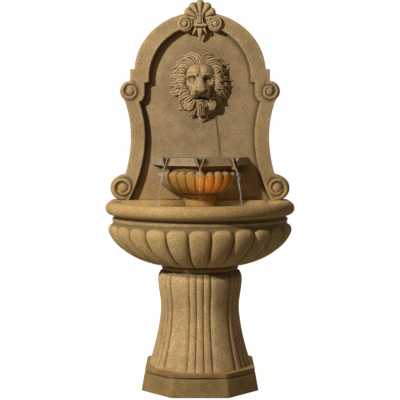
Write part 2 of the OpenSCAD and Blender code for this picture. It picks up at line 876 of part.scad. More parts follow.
// What is cut from the bowl's inside, in front of its flat back wall
module bowl_hollow() {
    low = bowl_z + bowl_foot_h + 14;
    intersection() {
        union() {
            skin([for (s = [0, 0.1, 0.25, 0.45, 0.7, 1])
                bowl_ring(low + s * (belly_z - low), bowl_wall)]);
            translate([0, 0, belly_z - past])
                linear_extrude(bowl_top_z - belly_z + 2 * past)
                    polygon(band_outline((belly_r - bowl_wall - 4) / cos(22.5)));
        }
        block([-bowl_r, panel_y - bowl_r, low],
            [bowl_r, panel_y - bowl_back_wall, bowl_top_z + past]);
    }
}

// A pouring lip at one corner of the rim: the V is drawn upright and pushed through the band
module notch(grow, reach) {
    drop = notch_depth + grow * 2;
    rotate([90, 0, 0])
        linear_extrude(reach)
            polygon([[-notch_w / 2 - grow, past], [0, -drop], [notch_w / 2 + grow, past]]);
}

module at_corners() {
    for (a = [-45, 0, 45])
        translate([0, panel_y, bowl_top_z]) rotate([0, 0, a]) children();
}

module upper_bowl() {
    color(stone)
        difference() {
            union() {
                bowl_belly();
                translate([0, 0, band_z])
                    linear_extrude(bowl_band_h) polygon(band_outline(bowl_r));
                translate([0, panel_y, bowl_z]) cylinder(r = bowl_foot_r, h = bowl_foot_h + past);
                at_corners() translate([0, -bowl_r + 18, 0]) notch(lip_w, 18 + lip_out);
            }
            block([-2 * bowl_r, panel_y, deck_z - past],
                [2 * bowl_r, back_y, bowl_top_z + 5]);
            block([-2 * bowl_r, panel_y - 2 * bowl_r, bowl_top_z],
                [2 * bowl_r, back_y, bowl_top_z + 5]);
            bowl_hollow();
            at_corners() translate([0, -bowl_r + 30, 0]) notch(0, 60);
            for (side = [-1, 1])
                rod_out(side * bowl_bolt_x, bowl_bolt_z, bowl_bolt_r + 0.1, panel_d - past,
                    panel_d + 10);
        }
}

module bowl_bolts() {
    color("silver")
        for (side = [-1, 1]) {
            rod_out(side * bowl_bolt_x, bowl_bolt_z, bowl_bolt_r, cavity_d - 1, panel_d + 9);
            rod_out(side * bowl_bolt_x, bowl_bolt_z, 2 * bowl_bolt_r, cavity_d - 4, cavity_d);
        }
}

// Spout and riser

riser_d = 42;
riser_y = back_y - riser_d;
pump_axis_z = well_z + chamber_r + 9;
outlet_z = pump_axis_z + chamber_r;
barb_h = 22;
leg_h = 42;
spout_end_d = panel_d + 38;

module spout_pipe() {
    color("#b08d57")
        difference() {
            union() {
                rod_out(0, mouth_z, spout_r, riser_d, spout_end_d);
                translate([0, riser_y, mouth_z - leg_h]) cylinder(r = spout_r, h = leg_h);
                translate([0, riser_y, mouth_z]) sphere(spout_r);
            }
            rod_out(0, mouth_z, spout_r - 2.5, riser_d, spout_end_d + past);
            translate([0, riser_y, mouth_z - leg_h - past])
                cylinder(r = spout_r - 2.5, h = leg_h + past);
        }
}

module spout_washer() {
    color("dimgray")
        difference() {
            rod_out(0, mouth_z, 15, cavity_d - 2, cavity_d);
            rod_out(0, mouth_z, spout_r + 0.1, cavity_d - 3, cavity_d + past);
        }
}

module spout_nut() {
    nut_t = 5;
    color("#b08d57")
        translate([0, back_y - cavity_d + 2 + nut_t, mouth_z])
            rotate([90, 0, 0])
                difference() {
                    cylinder(r = 14, h = nut_t, $fn = 6);
                    translate([0, 0, -past]) cylinder(r = spout_r + 0.1, h = nut_t + 2 * past);
                }
}

hose_low = outlet_z + 4;
hose_high = mouth_z - leg_h + barb_h;

module riser_hose() {
    color("#303030")
        translate([0, riser_y, hose_low])
            difference() {
                cylinder(r = hose_r, h = hose_high - hose_low);
                translate([0, 0, -past])
                    cylinder(r = hose_bore_r, h = hose_high - hose_low + 2 * past);
            }
}

clamp_h = 8;

module hose_clamps() {
    color("silver")
        for (z = [hose_low + 6, hose_high - 6 - clamp_h])
            translate([0, riser_y, z])
                difference() {
                    union() {
                        cylinder(r = hose_r + 1.2, h = clamp_h);
                        translate([hose_r - 1, -4, 0]) cube([8, 8, clamp_h]);
                    }
                    translate([0, 0, -past]) cylinder(r = hose_r + 0.1, h = clamp_h + 2 * past);
                }
}

clip_h = 10;

module hose_clips() {
    color("#303030")
        for (z = [deck_z + 160, deck_z + 235])
            difference() {
                translate([-hose_r - 8, back_y - cavity_d, z])
                    cube([2 * hose_r + 16, cavity_d - riser_d + hose_r / 2, clip_h]);
                translate([0, riser_y, z - past])
                    cylinder(r = hose_r + 0.1, h = clip_h + 2 * past);
            }
}

// Pump, on an axis along the width

pump_y = riser_y;
chamber_x0 = -14;
chamber_x1 = 16;
motor_x0 = chamber_x0 - 56;
gasket_t = 1.5;
magnet_r = 10;
magnet_gap = 1;
shaft_r = 1.5;
bush_r = 4;
bush_t = 4;
magnet_x0 = motor_x0 + 14;
hub_r = 6;
front_x = chamber_x1 + 18;
dial_t = 4;
foot_h = 9;

module pump_motor() {
    half = chamber_r + 1;
    color("#26282b")
        difference() {
            union() {
                translate([motor_x0, pump_y, pump_axis_z])
                    rotate([0, 90, 0])
                        linear_extrude(chamber_x0 - gasket_t - motor_x0)
                            offset(r = 6) square(2 * half - 12, center = true);
                translate([motor_x0 - 8, pump_y, pump_axis_z + 10])
                    rotate([0, 90, 0]) cylinder(r1 = 5, r2 = 7, h = 8);
            }
            rod_across(magnet_x0 - 1, chamber_x0 + past, pump_y, pump_axis_z,
                magnet_r + magnet_gap);
            rod_across(magnet_x0 - 1 - bush_t, magnet_x0, pump_y, pump_axis_z, bush_r);
            rod_across(motor_x0 - 8 - past, motor_x0 + 2, pump_y, pump_axis_z + 10, 3.2);
        }
}

module pump_feet() {
    color("dimgray")
        for (dx = [10, 46], dy = [-16, 16])
            translate([motor_x0 + dx, pump_y + dy, well_z]) {
                cylinder(r1 = 8, r2 = 3, h = foot_h - 3);
                cylinder(r = 3, h = foot_h - 1);
            }
}

module chamber_gasket() {
    color("dimgray")
        difference() {
            rod_across(chamber_x0 - gasket_t, chamber_x0, pump_y, pump_axis_z, chamber_r);
            rod_across(chamber_x0 - gasket_t - past, chamber_x0 + past, pump_y, pump_axis_z,
                chamber_r - 3);
        }
}

module pump_chamber() {
    color("#33363a")
        difference() {
            union() {
                rod_across(chamber_x0, chamber_x1, pump_y, pump_axis_z, chamber_r);
                translate([0, riser_y, pump_axis_z]) cylinder(r = spout_r, h = chamber_r + barb_h);
            }
            rod_across(chamber_x0 - past, chamber_x1 - 4, pump_y, pump_axis_z, chamber_r - 3);
            rod_across(chamber_x1 - 5, chamber_x1 + past, pump_y, pump_axis_z, 10);
            translate([0, riser_y, pump_axis_z])
                cylinder(r = spout_r - 2.5, h = chamber_r + barb_h + past);
        }
    color("#33363a")
        difference() {
            union() {
                rod_across(chamber_x1 - 4, chamber_x1, pump_y, pump_axis_z, bush_r + 2);
                block([chamber_x1 - 4, pump_y - 1.5, pump_axis_z - 11],
                    [chamber_x1, pump_y + 1.5, pump_axis_z + 11]);
            }
            rod_across(chamber_x1 - 5, chamber_x1 + past, pump_y, pump_axis_z, bush_r);
        }
}

module rotor_shaft() {
    color("white")
        rod_across(magnet_x0 - 1 - bush_t, chamber_x1, pump_y, pump_axis_z, shaft_r);
}

module shaft_bushes() {
    color("gray")
        for (x = [magnet_x0 - 1 - bush_t, chamber_x1 - bush_t])
            difference() {
                rod_across(x, x + bush_t, pump_y, pump_axis_z, bush_r);
                rod_across(x - past, x + bush_t + past, pump_y, pump_axis_z, shaft_r);
            }
}

rotor_fit = 0.06;

module rotor_magnet() {
    color("#404040")
        difference() {
            rod_across(magnet_x0, chamber_x0 + 2, pump_y, pump_axis_z, magnet_r);
            rod_across(magnet_x0 - past, chamber_x0 + 3, pump_y, pump_axis_z, shaft_r + rotor_fit);
        }
}

module impeller() {
    blades = 6;
    color("#d8d8d8")
        difference() {
            union() {
                rod_across(chamber_x0 + 2, chamber_x1 - 5, pump_y, pump_axis_z, hub_r);
                rod_across(chamber_x0 + 2, chamber_x0 + 4, pump_y, pump_axis_z, impeller_r);
                for (k = [0:blades - 1])
                    translate([chamber_x0 + 4 - 0.5, pump_y, pump_axis_z])
                        rotate([k * 360 / blades, 0, 0])
                            translate([0, -0.75, hub_r - 1])
                                cube([12, 1.5, impeller_r - hub_r + 0.5]);
            }
            rod_across(chamber_x0, chamber_x1, pump_y, pump_axis_z, shaft_r + rotor_fit);
        }
}

module intake_grille() {
    slots = 10;
    color("#26282b")
        difference() {
            rod_across(chamber_x1, front_x, pump_y, pump_axis_z, chamber_r);
            rod_across(chamber_x1 - past, front_x - 3, pump_y, pump_axis_z, chamber_r - 3);
            rod_across(front_x - 4, front_x + past, pump_y, pump_axis_z, 8);
            for (k = [0:slots - 1])
                translate([chamber_x1 + 4, pump_y, pump_axis_z])
                    rotate([(k + 0.5) * 360 / slots, 0, 0])
                        translate([0, -1.5, chamber_r - 6]) cube([9, 3, 8]);
        }
}

module flow_dial() {
    grip = 3;
    color("#c8c8c8")
        difference() {
            union() {
                rod_across(front_x + seat_gap, front_x + seat_gap + dial_t, pump_y, pump_axis_z, 16);
                rod_across(front_x - 3, front_x + seat_gap + past, pump_y, pump_axis_z,
                    8 - seat_gap);
                block([front_x + seat_gap + dial_t - past, pump_y - grip / 2, pump_axis_z - 12],
                    [front_x + seat_gap + dial_t + 5, pump_y + grip / 2, pump_axis_z + 12]);
            }
            for (dy = [-1, 1])
                rod_across(front_x - 4, front_x + dial_t + 2, pump_y + dy * 5, pump_axis_z, 1.6);
        }
}

// Lamp under the bowl

lamp_d = 182;
lamp_y = back_y - lamp_d;
lamp_axis_z = deck_z - 53;
arm_z = lamp_axis_z - 42;
arm_t = 4;
arm_w = 24;
plate_t = 3;
saddle_t = 3;
saddle_h = 38;
saddle_w = 18;
stud_r = 3;
yoke_gap = 2;
yoke_t = 3;
yoke_foot_z = arm_z + arm_t + seat_gap;
pivot_r = 2;
bracket_screw_r = 2;
lens_t = 3;
lamp_wall_t = 3;
lamp_floor_t = 5;

// Places one of the two screws that hold the bracket on the round saddle of the deck
module lamp_screw_place(side) {
    translate([0, panel_y, arm_z + 8 + side * 14])
        rotate([90, 0, 0]) translate([0, 0, saddle_r - 12]) children();
}

module lamp_bracket() {
    color("silver")
        difference() {
            union() {
                intersection() {
                    translate([0, panel_y, arm_z - 11])
                        cylinder(r = saddle_r + saddle_t, h = saddle_h);
                    block([-saddle_w, lamp_y, arm_z - 11],
                        [saddle_w, panel_y, arm_z - 11 + saddle_h]);
                }
                block([-saddle_w, panel_y - saddle_r - 14, arm_z],
                    [lamp_x + arm_w / 2, panel_y - saddle_r + 8, arm_z + arm_t]);
                block([lamp_x - arm_w / 2, lamp_y, arm_z],
                    [lamp_x + arm_w / 2, panel_y - saddle_r - 13, arm_z + arm_t]);
                translate([lamp_x, lamp_y, arm_z]) cylinder(r = arm_w / 2, h = arm_t);
            }
            translate([0, panel_y, arm_z - 12]) cylinder(r = saddle_r, h = saddle_h + 2);
            translate([lamp_x, lamp_y, arm_z - past])
                cylinder(r = stud_r + 0.05, h = arm_t + 2 * past);
            for (side = [-1, 1])
                lamp_screw_place(side) cylinder(r = bracket_screw_r + 0.1, h = 30);
        }
}

module bracket_screws() {
    color("silver")
        for (side = [-1, 1])
            lamp_screw_place(side) {
                translate([0, 0, 1]) cylinder(r = bracket_screw_r, h = 11 + saddle_t);
                translate([0, 0, 12 + saddle_t]) cylinder(r = 2 * bracket_screw_r, h = 2);
            }
}

module lamp_yoke() {
    half = lamp_r + yoke_gap;
    color("silver")
        translate([lamp_x, lamp_y, 0])
            difference() {
                union() {
                    block([-half - yoke_t, -7, yoke_foot_z], [half + yoke_t, 7, yoke_foot_z + plate_t]);
                    for (side = [-1, 1])
                        translate([side * (half + yoke_t / 2) - yoke_t / 2, 0, 0]) {
                            block([0, -7, yoke_foot_z], [yoke_t, 7, lamp_axis_z]);
                            rod_across(0, yoke_t, 0, lamp_axis_z, 7);
                        }
                    translate([0, 0, arm_z - 8]) cylinder(r = stud_r, h = yoke_foot_z - arm_z + 9);
                }
                rod_across(-half - 2 * yoke_t, half + 2 * yoke_t, 0, lamp_axis_z, pivot_r + 0.05);
            }
}

module swivel_nut() {
    color("silver")
        translate([lamp_x, lamp_y, arm_z - 5.3])
            difference() {
                cylinder(r = 6, h = 5, $fn = 6);
                translate([0, 0, -past]) cylinder(r = stud_r, h = 5 + 2 * past);
            }
}

module tilt_screws() {
    half = lamp_r + yoke_gap;
    color("silver")
        for (side = [-1, 1])
            translate([lamp_x, lamp_y, lamp_axis_z]) mirror([side < 0 ? 1 : 0, 0, 0]) {
                rod_across(lamp_r - 2, half + yoke_t + seat_gap, 0, 0, pivot_r);
                rod_across(half + yoke_t + seat_gap, half + yoke_t + 3, 0, 0, 2 * pivot_r);
            }
}

lamp_low = lamp_axis_z - lamp_h / 2;
lamp_high = lamp_low + lamp_h;

module lamp_housing() {
    color("#1e2023")
        translate([lamp_x, lamp_y, 0])
            difference() {
                union() {
                    translate([0, 0, lamp_low]) cylinder(r = lamp_r, h = lamp_h);
                    for (z = [lamp_low + 6, lamp_low + 11])
                        translate([0, 0, z]) cylinder(r = lamp_r + 1, h = 2);
                }
                translate([0, 0, lamp_low + lamp_floor_t])
                    cylinder(r = lamp_r - lamp_wall_t, h = lamp_h);
                for (side = [-1, 1])
                    rod_across(side * (lamp_r - 2) - 2.5, side * (lamp_r - 2) + 2.5, 0, lamp_axis_z,
                        pivot_r);
            }
}

module lamp_reflector() {
    color("white")
        translate([lamp_x, lamp_y, lamp_low + lamp_floor_t + 2])
            difference() {
                cylinder(r1 = lamp_r - 9, r2 = lamp_r - lamp_wall_t, h = lamp_h - lamp_floor_t - 2);
                translate([0, 0, -0.01])
                    cylinder(r1 = lamp_r - 11, r2 = lamp_r - lamp_wall_t - 1.2, h = lamp_h);
            }
}

module lamp_emitter() {
    color("gold")
        translate([lamp_x, lamp_y, lamp_low + lamp_floor_t]) {
            cylinder(r = lamp_r - lamp_wall_t - 1, h = 2);
            translate([0, 0, 2]) cylinder(r = lamp_r - 12, h = 3);
            for (k = [0:5])
                rotate([0, 0, 60 * k]) translate([5, -1.5, 5]) cube([3, 3, 1.2]);
        }
}

module lamp_lens() {
    color("gold", 0.5)
        translate([lamp_x, lamp_y, lamp_high]) cylinder(r = lamp_r - 1, h = lens_t);
}

module lens_ring() {
    color("#1e2023")
        translate([lamp_x, lamp_y, lamp_high])
            difference() {
                cylinder(r = lamp_r + 1, h = lens_t + 2);
                translate([0, 0, -past]) cylinder(r = lamp_r - 1, h = lens_t + past);
                cylinder(r = lamp_r - 3, h = lens_t + 3);
            }
}

pedestal();
basin();
back_panel();
crest();
lion_mask();
upper_bowl();
rear_cover();
cover_screws();
access_hatch();
hatch_screws();
hatch_nuts();
locating_dowels();
mask_bolts();
bowl_bolts();
spout_pipe();
spout_washer();
spout_nut();
riser_hose();
hose_clamps();
hose_clips();
cord_grommet();
pump_motor();
pump_feet();
pump_chamber();
chamber_gasket();
rotor_shaft();
shaft_bushes();
rotor_magnet();
impeller();
intake_grille();
flow_dial();
lamp_bracket();
bracket_screws();
lamp_yoke();
swivel_nut();
tilt_screws();
lamp_housing();
lamp_reflector();
lamp_emitter();
lamp_lens();
lens_ring();
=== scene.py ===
import random
from math import atan2, ceil, copysign, cos, degrees, dist, exp, hypot, pi, radians, sin, sqrt, tan

import bpy
import numpy as np
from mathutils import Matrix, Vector


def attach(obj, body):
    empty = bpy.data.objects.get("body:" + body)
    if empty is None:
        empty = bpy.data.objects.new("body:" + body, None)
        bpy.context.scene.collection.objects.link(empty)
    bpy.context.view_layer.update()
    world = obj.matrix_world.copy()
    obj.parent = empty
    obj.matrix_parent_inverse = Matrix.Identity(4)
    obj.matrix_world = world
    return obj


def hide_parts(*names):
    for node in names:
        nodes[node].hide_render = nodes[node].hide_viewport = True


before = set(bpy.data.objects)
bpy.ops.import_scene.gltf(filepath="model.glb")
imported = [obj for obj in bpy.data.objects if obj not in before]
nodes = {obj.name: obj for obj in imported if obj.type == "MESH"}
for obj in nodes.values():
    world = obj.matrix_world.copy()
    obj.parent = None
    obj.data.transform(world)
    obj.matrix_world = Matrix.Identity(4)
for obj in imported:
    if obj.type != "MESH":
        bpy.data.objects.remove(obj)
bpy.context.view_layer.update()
mm = 0.001

# Places shared by several castings, in millimetres: the wall is at backY and the front faces -Y
backY = 205
deckZ = 603
neckZ = 402
panelY = 135
frameY = 105
pedestalY = 16
maskZ = 985
mouthZ = 946


# General helpers

def deselect():
    if bpy.context.mode != "OBJECT":
        bpy.ops.object.mode_set(mode="OBJECT")
    bpy.ops.object.select_all(action="DESELECT")


def pick(*objects):
    deselect()
    for obj in objects:
        obj.select_set(True)
    bpy.context.view_layer.objects.active = objects[0]


def named(name):
    obj = bpy.context.active_object
    obj.name = name
    obj.data.name = name
    return obj


def settle(obj):
    # puts the object's place, turn and size into its mesh
    pick(obj)
    bpy.ops.object.transform_apply(location=True, rotation=True, scale=True)
    return obj


def closeSeams(obj):
    pick(obj)
    bpy.ops.object.mode_set(mode="EDIT")
    bpy.ops.mesh.select_all(action="SELECT")
    bpy.ops.mesh.remove_doubles(threshold=0.00002)
    bpy.ops.mesh.normals_make_consistent(inside=False)
    bpy.ops.object.mode_set(mode="OBJECT")


def applyAll(obj):
    pick(obj)
    for modifier in list(obj.modifiers):
        bpy.ops.object.modifier_apply(modifier=modifier.name)


def skin(name, rings):
    # a grid wrapped round equal rings of points; a ring of a single point closes an end
    columns, rows = max(len(ring) for ring in rings), len(rings) - 1
    deselect()
    bpy.ops.mesh.primitive_grid_add(x_subdivisions=columns, y_subdivisions=rows, size=1)
    obj = named(name)
    for vertex in obj.data.vertices:
        i = round((vertex.co.x + 0.5) * columns) % columns
        ring = rings[round((vertex.co.y + 0.5) * rows)]
        vertex.co = Vector(ring[i % len(ring)]) * mm
    closeSeams(obj)
    return obj


def capped(rings):
    # closes both ends of a stack of rings at their middles
    first, last = [[tuple(sum(p[k] for p in ring) / len(ring) for k in range(3))]
                   for ring in (rings[0], rings[-1])]
    return [first] + rings + [last]


def slab(name, outline, nearY, farY):
    # an outline of x and height, extruded from nearY back to farY
    deselect()
    bpy.ops.mesh.primitive_circle_add(vertices=len(outline), radius=1, fill_type="NGON")
    obj = named(name)
    for vertex, (x, z) in zip(obj.data.vertices, outline):
        vertex.co = Vector((x, nearY, z)) * mm
    bpy.ops.object.mode_set(mode="EDIT")
    bpy.ops.mesh.select_all(action="SELECT")
    bpy.ops.mesh.extrude_region_move(
        TRANSFORM_OT_translate={"value": (0, (farY - nearY) * mm, 0)}
    )
    bpy.ops.object.mode_set(mode="OBJECT")
    closeSeams(obj)
    return obj


def upright(name, outline, lowZ, highZ):
    # an outline of x and depth, raised from lowZ to highZ
    obj = slab(name, outline, lowZ, highZ)
    for vertex in obj.data.vertices:
        x, y, z = vertex.co
        vertex.co = (x, z, y)
    closeSeams(obj)
    return obj


def box(name, low, high):
    deselect()
    size = [(b - a) * mm for a, b in zip(low, high)]
    middle = [(b + a) / 2 * mm for a, b in zip(low, high)]
    bpy.ops.mesh.primitive_cube_add(size=1, location=middle, scale=size)
    return settle(named(name))


def rod(name, foot, radius, height, sides=64, tilt=0):
    # a cylinder that stands on its foot, and leans forwards with a tilt
    x, y, z = foot
    a = radians(tilt)
    middle = (x * mm, (y - height / 2 * sin(a)) * mm, (z + height / 2 * cos(a)) * mm)
    deselect()
    bpy.ops.mesh.primitive_cylinder_add(vertices=sides, radius=radius * mm, depth=height * mm,
                                        location=middle, rotation=(a, 0, 0))
    return settle(named(name))


def ball(name, middle, size):
    deselect()
    bpy.ops.mesh.primitive_uv_sphere_add(
        segments=32, ring_count=20, radius=mm, location=[c * mm for c in middle], scale=size
    )
    return settle(named(name))


def sweep(name, lines, sides=3):
    # tapered round strands along lines of (x, y, z, radius) points
    deselect()
    bpy.ops.curve.primitive_nurbs_path_add()
    obj = named(name)
    curve = obj.data
    curve.splines.clear()
    curve.dimensions = "3D"
    curve.bevel_depth = mm
    curve.bevel_resolution = sides
    curve.use_fill_caps = True
    curve.resolution_u = 4
    for line in lines:
        spline = curve.splines.new("NURBS")
        spline.points.add(len(line) - 1)
        for point, (x, y, z, radius) in zip(spline.points, line):
            point.co = (x * mm, y * mm, z * mm, 1)
            point.radius = radius
        spline.order_u = 4
        spline.use_endpoint_u = True
    obj.location = (0, 0, 0)
    pick(obj)
    bpy.ops.object.convert(target="MESH")
    return settle(bpy.context.active_object)


def combine(obj, tool, operation="DIFFERENCE", keep=False):
    modifier = obj.modifiers.new("shape", "BOOLEAN")
    modifier.object = tool
    modifier.operation = operation
    modifier.solver = "EXACT"
    applyAll(obj)
    if not keep:
        bpy.data.objects.remove(tool)


def joined(name, pieces):
    pick(*pieces)
    bpy.ops.object.join()
    return named(name)


def recast(obj, voxel, rounds, factor=0.5):
    # one skin over all the overlapping forms, with its edges softened as in a mould
    modifier = obj.modifiers.new("cast", "REMESH")
    modifier.mode = "VOXEL"
    modifier.voxel_size = voxel * mm
    modifier = obj.modifiers.new("soften", "SMOOTH")
    modifier.factor = factor
    modifier.iterations = rounds
    applyAll(obj)


def cutFlat(obj, point, normal):
    # trims what lies on the normal's side and closes the cut
    pick(obj)
    bpy.ops.object.mode_set(mode="EDIT")
    bpy.ops.mesh.select_all(action="SELECT")
    bpy.ops.mesh.bisect(
        plane_co=[c * mm for c in point], plane_no=normal, use_fill=True, clear_outer=True
    )
    bpy.ops.object.mode_set(mode="OBJECT")


def shadeSmooth(obj, angle):
    pick(obj)
    bpy.ops.object.shade_smooth_by_angle(angle=radians(angle))


def layer(obj, name):
    # a painted value for each point, which the materials read
    layers = obj.data.attributes
    return (layers.get(name) or layers.new(name, "FLOAT", "POINT")).data


def spots(obj):
    # the number and the place in millimetres of each point
    return [(vertex.index, *(c / mm for c in vertex.co)) for vertex in obj.data.vertices]


def paintWash(obj, reach=(3, 10, 30), full=1.0):
    # marks how far each point lies in a hollow or out on an edge, for the dark wash and the wear
    mesh = obj.data
    count = len(mesh.vertices)
    places, normals = np.empty((count, 3)), np.empty((count, 3))
    mesh.vertices.foreach_get("co", places.ravel())
    mesh.vertices.foreach_get("normal", normals.ravel())
    ends = np.empty(len(mesh.edges) * 2, np.int32)
    mesh.edges.foreach_get("vertices", ends)
    a, b = ends[0::2], ends[1::2]

    def gathered(values):
        # the sum over each point's neighbours
        return np.bincount(a, values[b], count) + np.bincount(b, values[a], count)

    neighbours = np.maximum(gathered(np.ones(count)), 1)
    smooth, depth = places, np.zeros(count)
    for turn in range(1, max(reach) + 1):
        total = np.stack([gathered(smooth[:, k]) for k in range(3)], 1)
        smooth = 0.4 * smooth + 0.6 * total / neighbours[:, None]
        if turn in reach:
            depth += ((smooth - places) * normals).sum(1) / mm
    for name, values in (("hollow", depth), ("ridge", -depth)):
        layer(obj, name).foreach_set("value", np.clip(values / full, 0, 1).astype(np.float32))


def shares(count):
    # even steps from 0 to 1
    return [i / count for i in range(count + 1)]


def roundOff(start, corner, end, steps):
    # points on a curve that cuts a corner
    return [start * (1 - s) ** 2 + corner * 2 * s * (1 - s) + end * s * s for s in shares(steps)]


def rounded(profile, radius, steps=4):
    # softens the corners of a profile of (a, b) points
    points = [profile[0]]
    for before, corner, after in zip(profile, profile[1:], profile[2:]):
        here = Vector(corner)
        toBefore, toAfter = Vector(before) - here, Vector(after) - here
        cut = min(radius, toBefore.length * 0.45, toAfter.length * 0.45)
        start = here + toBefore.normalized() * cut
        end = here + toAfter.normalized() * cut
        points += [tuple(p) for p in roundOff(start, here, end, steps)]
    points.append(profile[-1])
    return points


def spaced(profile, step):
    # adds points so that none lie further apart than step
    points = [profile[0]]
    for start, end in zip(profile, profile[1:]):
        points += [tuple(p + (q - p) * s for p, q in zip(start, end))
                   for s in shares(max(1, ceil(dist(start, end) / step)))[1:]]
    return points


def turned(radius, turn, z, middleY=pedestalY):
    # a point at a radius and at a turn in degrees from the front
    a = radians(turn)
    return radius * sin(a), middleY - radius * cos(a), z


def blendOf(a, b, share):
    return a * (1 - share) + b * share


def ease(v):
    v = min(1.0, max(0.0, v))
    return v * v * (3 - 2 * v)


def bump(x, z, cx, cz, sx, sz):
    return exp(-((x - cx) / sx) ** 2 - ((z - cz) / sz) ** 2)


def dome(v, power):
    return max(0.0, 1 - min(1.0, abs(v)) ** power) ** (1 / power)


# Camera

view = {"place": (0, -3.417, 0.8534), "pitchDown": 4.047, "lens": 94.57}
deselect()
bpy.ops.object.camera_add(
    location=view["place"], rotation=(radians(90 - view["pitchDown"]), 0, 0)
)
camera = bpy.context.active_object
camera.data.lens = view["lens"]
camera.data.sensor_width = 36
camera.data.clip_end = 50
bpy.context.scene.camera = camera
print("camera placed")


# Materials

def rgb(red, green, blue):
    return (red, green, blue, 1.0)


class NodeTree:
    # short calls for the nodes of one material or group
    def __init__(self, tree):
        self.tree = tree

    def fill(self, node, values):
        for socket, value in values.items():
            if isinstance(value, bpy.types.NodeSocket):
                self.tree.links.new(value, node.inputs[socket])
            else:
                node.inputs[socket].default_value = value

    def add(self, kind, values=None, **settings):
        node = self.tree.nodes.new(kind)
        for name, value in settings.items():
            setattr(node, name, value)
        self.fill(node, values or {})
        return node

    def math(self, operation, *values, clamp=False):
        return self.add("ShaderNodeMath", dict(enumerate(values)), operation=operation,
                        use_clamp=clamp).outputs[0]

    def mix(self, share, a, b, blend="MIX"):
        return self.add("ShaderNodeMix", {0: share, 6: a, 7: b}, data_type="RGBA",
                        blend_type=blend).outputs[2]

    def tinted(self, color, tint):
        return self.mix(1.0, color, rgb(*tint), "MULTIPLY")

    def ramp(self, value, low, high):
        return self.add("ShaderNodeMapRange", {"Value": value, "From Min": low, "From Max": high},
                        clamp=True).outputs["Result"]

    def position(self):
        return self.add("ShaderNodeTexCoord").outputs["Object"]

    def noise(self, place, scale, detail=2.0, roughness=0.5):
        return self.add("ShaderNodeTexNoise", {
            "Vector": place, "Scale": scale, "Detail": detail, "Roughness": roughness
        }).outputs["Fac"]

    def cells(self, place, scale):
        return self.add("ShaderNodeTexVoronoi", {"Vector": place, "Scale": scale}
                        ).outputs["Distance"]

    def painted(self, name):
        return self.add("ShaderNodeAttribute", attribute_name=name).outputs["Fac"]

    def relief(self, height, strength, depth):
        return self.add("ShaderNodeBump", {
            "Height": height, "Strength": strength, "Distance": depth
        }).outputs["Normal"]

    def shade(self, **values):
        # values and links for the material's own shader
        self.fill(self.tree.nodes["Principled BSDF"],
                  {name.replace("_", " "): value for name, value in values.items()})

    def finish(self, group, values, strength, depth):
        # colour, roughness and relief from a node group
        made = self.add("ShaderNodeGroup", values, node_tree=group).outputs
        self.shade(Base_Color=made["Color"], Roughness=made["Roughness"],
                   Normal=self.relief(made["Height"], strength, depth))


def newGroup(name, inputs):
    tree = bpy.data.node_groups.new(name, "ShaderNodeTree")
    outputs = {"Color": rgb(0, 0, 0), "Roughness": 0.0, "Height": 0.0}
    for way, sockets in (("INPUT", inputs), ("OUTPUT", outputs)):
        for socket, value in sockets.items():
            kind = "NodeSocketFloat" if isinstance(value, float) else "NodeSocketColor"
            tree.interface.new_socket(socket, in_out=way, socket_type=kind).default_value = value
    t = NodeTree(tree)
    return t, t.add("NodeGroupInput").outputs, t.position()


def stoneGroup():
    t, given, here = newGroup("sandedStone", {
        "Stone": rgb(0.44, 0.3, 0.15), "Warm": rgb(0.44, 0.27, 0.13),
        "Wash Color": rgb(0.07, 0.053, 0.018), "Stain And Glow Color": rgb(0.42, 0.224, 0.048),
        "Wash And Shade": 0.7, "Wear": 0.4, "Grain": 0.5,
    })
    # clouds and patches of tone
    cloud = t.ramp(t.noise(here, 7.0, 4.0, 0.6), 0.38, 0.66)
    patch = t.ramp(t.noise(here, 34.0, 4.0, 0.65), 0.4, 0.68)
    tone = t.mix(cloud, given["Stone"], given["Warm"])
    tone = t.mix(t.math("MULTIPLY", patch, 0.6), tone, t.tinted(tone, (0.68, 0.7, 0.6)))
    # stains, and the painted glow of the lamp on the bowl and the basin
    tone = t.mix(t.painted("stainAndGlow"), tone, given["Stain And Glow Color"])
    # sand of three sizes
    grain = t.ramp(t.noise(here, 230.0, 4.0, 0.75), 0.34, 0.66)
    fine = t.ramp(t.noise(here, 800.0, 1.0, 0.6), 0.3, 0.7)
    pebbles = t.ramp(t.cells(here, 380.0), 0.7, 0.1)
    speckle = t.math("ADD", t.math("MULTIPLY", grain, 0.5), t.math("MULTIPLY", fine, 0.2))
    speckle = t.math("ADD", speckle, t.math("MULTIPLY", pebbles, 0.3))
    grained = t.mix(t.ramp(speckle, 0.24, 0.8), t.tinted(tone, (0.52, 0.5, 0.43)),
                    t.tinted(tone, (1.42, 1.4, 1.44)))
    tone = t.mix(given["Grain"], tone, grained)
    # dark wash and painted shade in the hollows, pale wear on the edges
    broken = t.math("MULTIPLY_ADD", speckle, 0.5, 0.75)
    washedAndShaded = t.math("MULTIPLY", t.painted("hollow"), given["Wash And Shade"])
    worn = t.math("MULTIPLY", t.painted("ridge"), given["Wear"])
    tone = t.mix(t.math("MULTIPLY", washedAndShaded, broken, clamp=True), tone, given["Wash Color"])
    tone = t.mix(t.math("MULTIPLY", worn, broken, clamp=True), tone,
                 t.tinted(tone, (1.5, 1.42, 1.45)))
    roughness = t.math("MULTIPLY_ADD", speckle, 0.16, 0.78)
    t.add("NodeGroupOutput", {"Color": tone, "Roughness": roughness, "Height": speckle})
    return t.tree


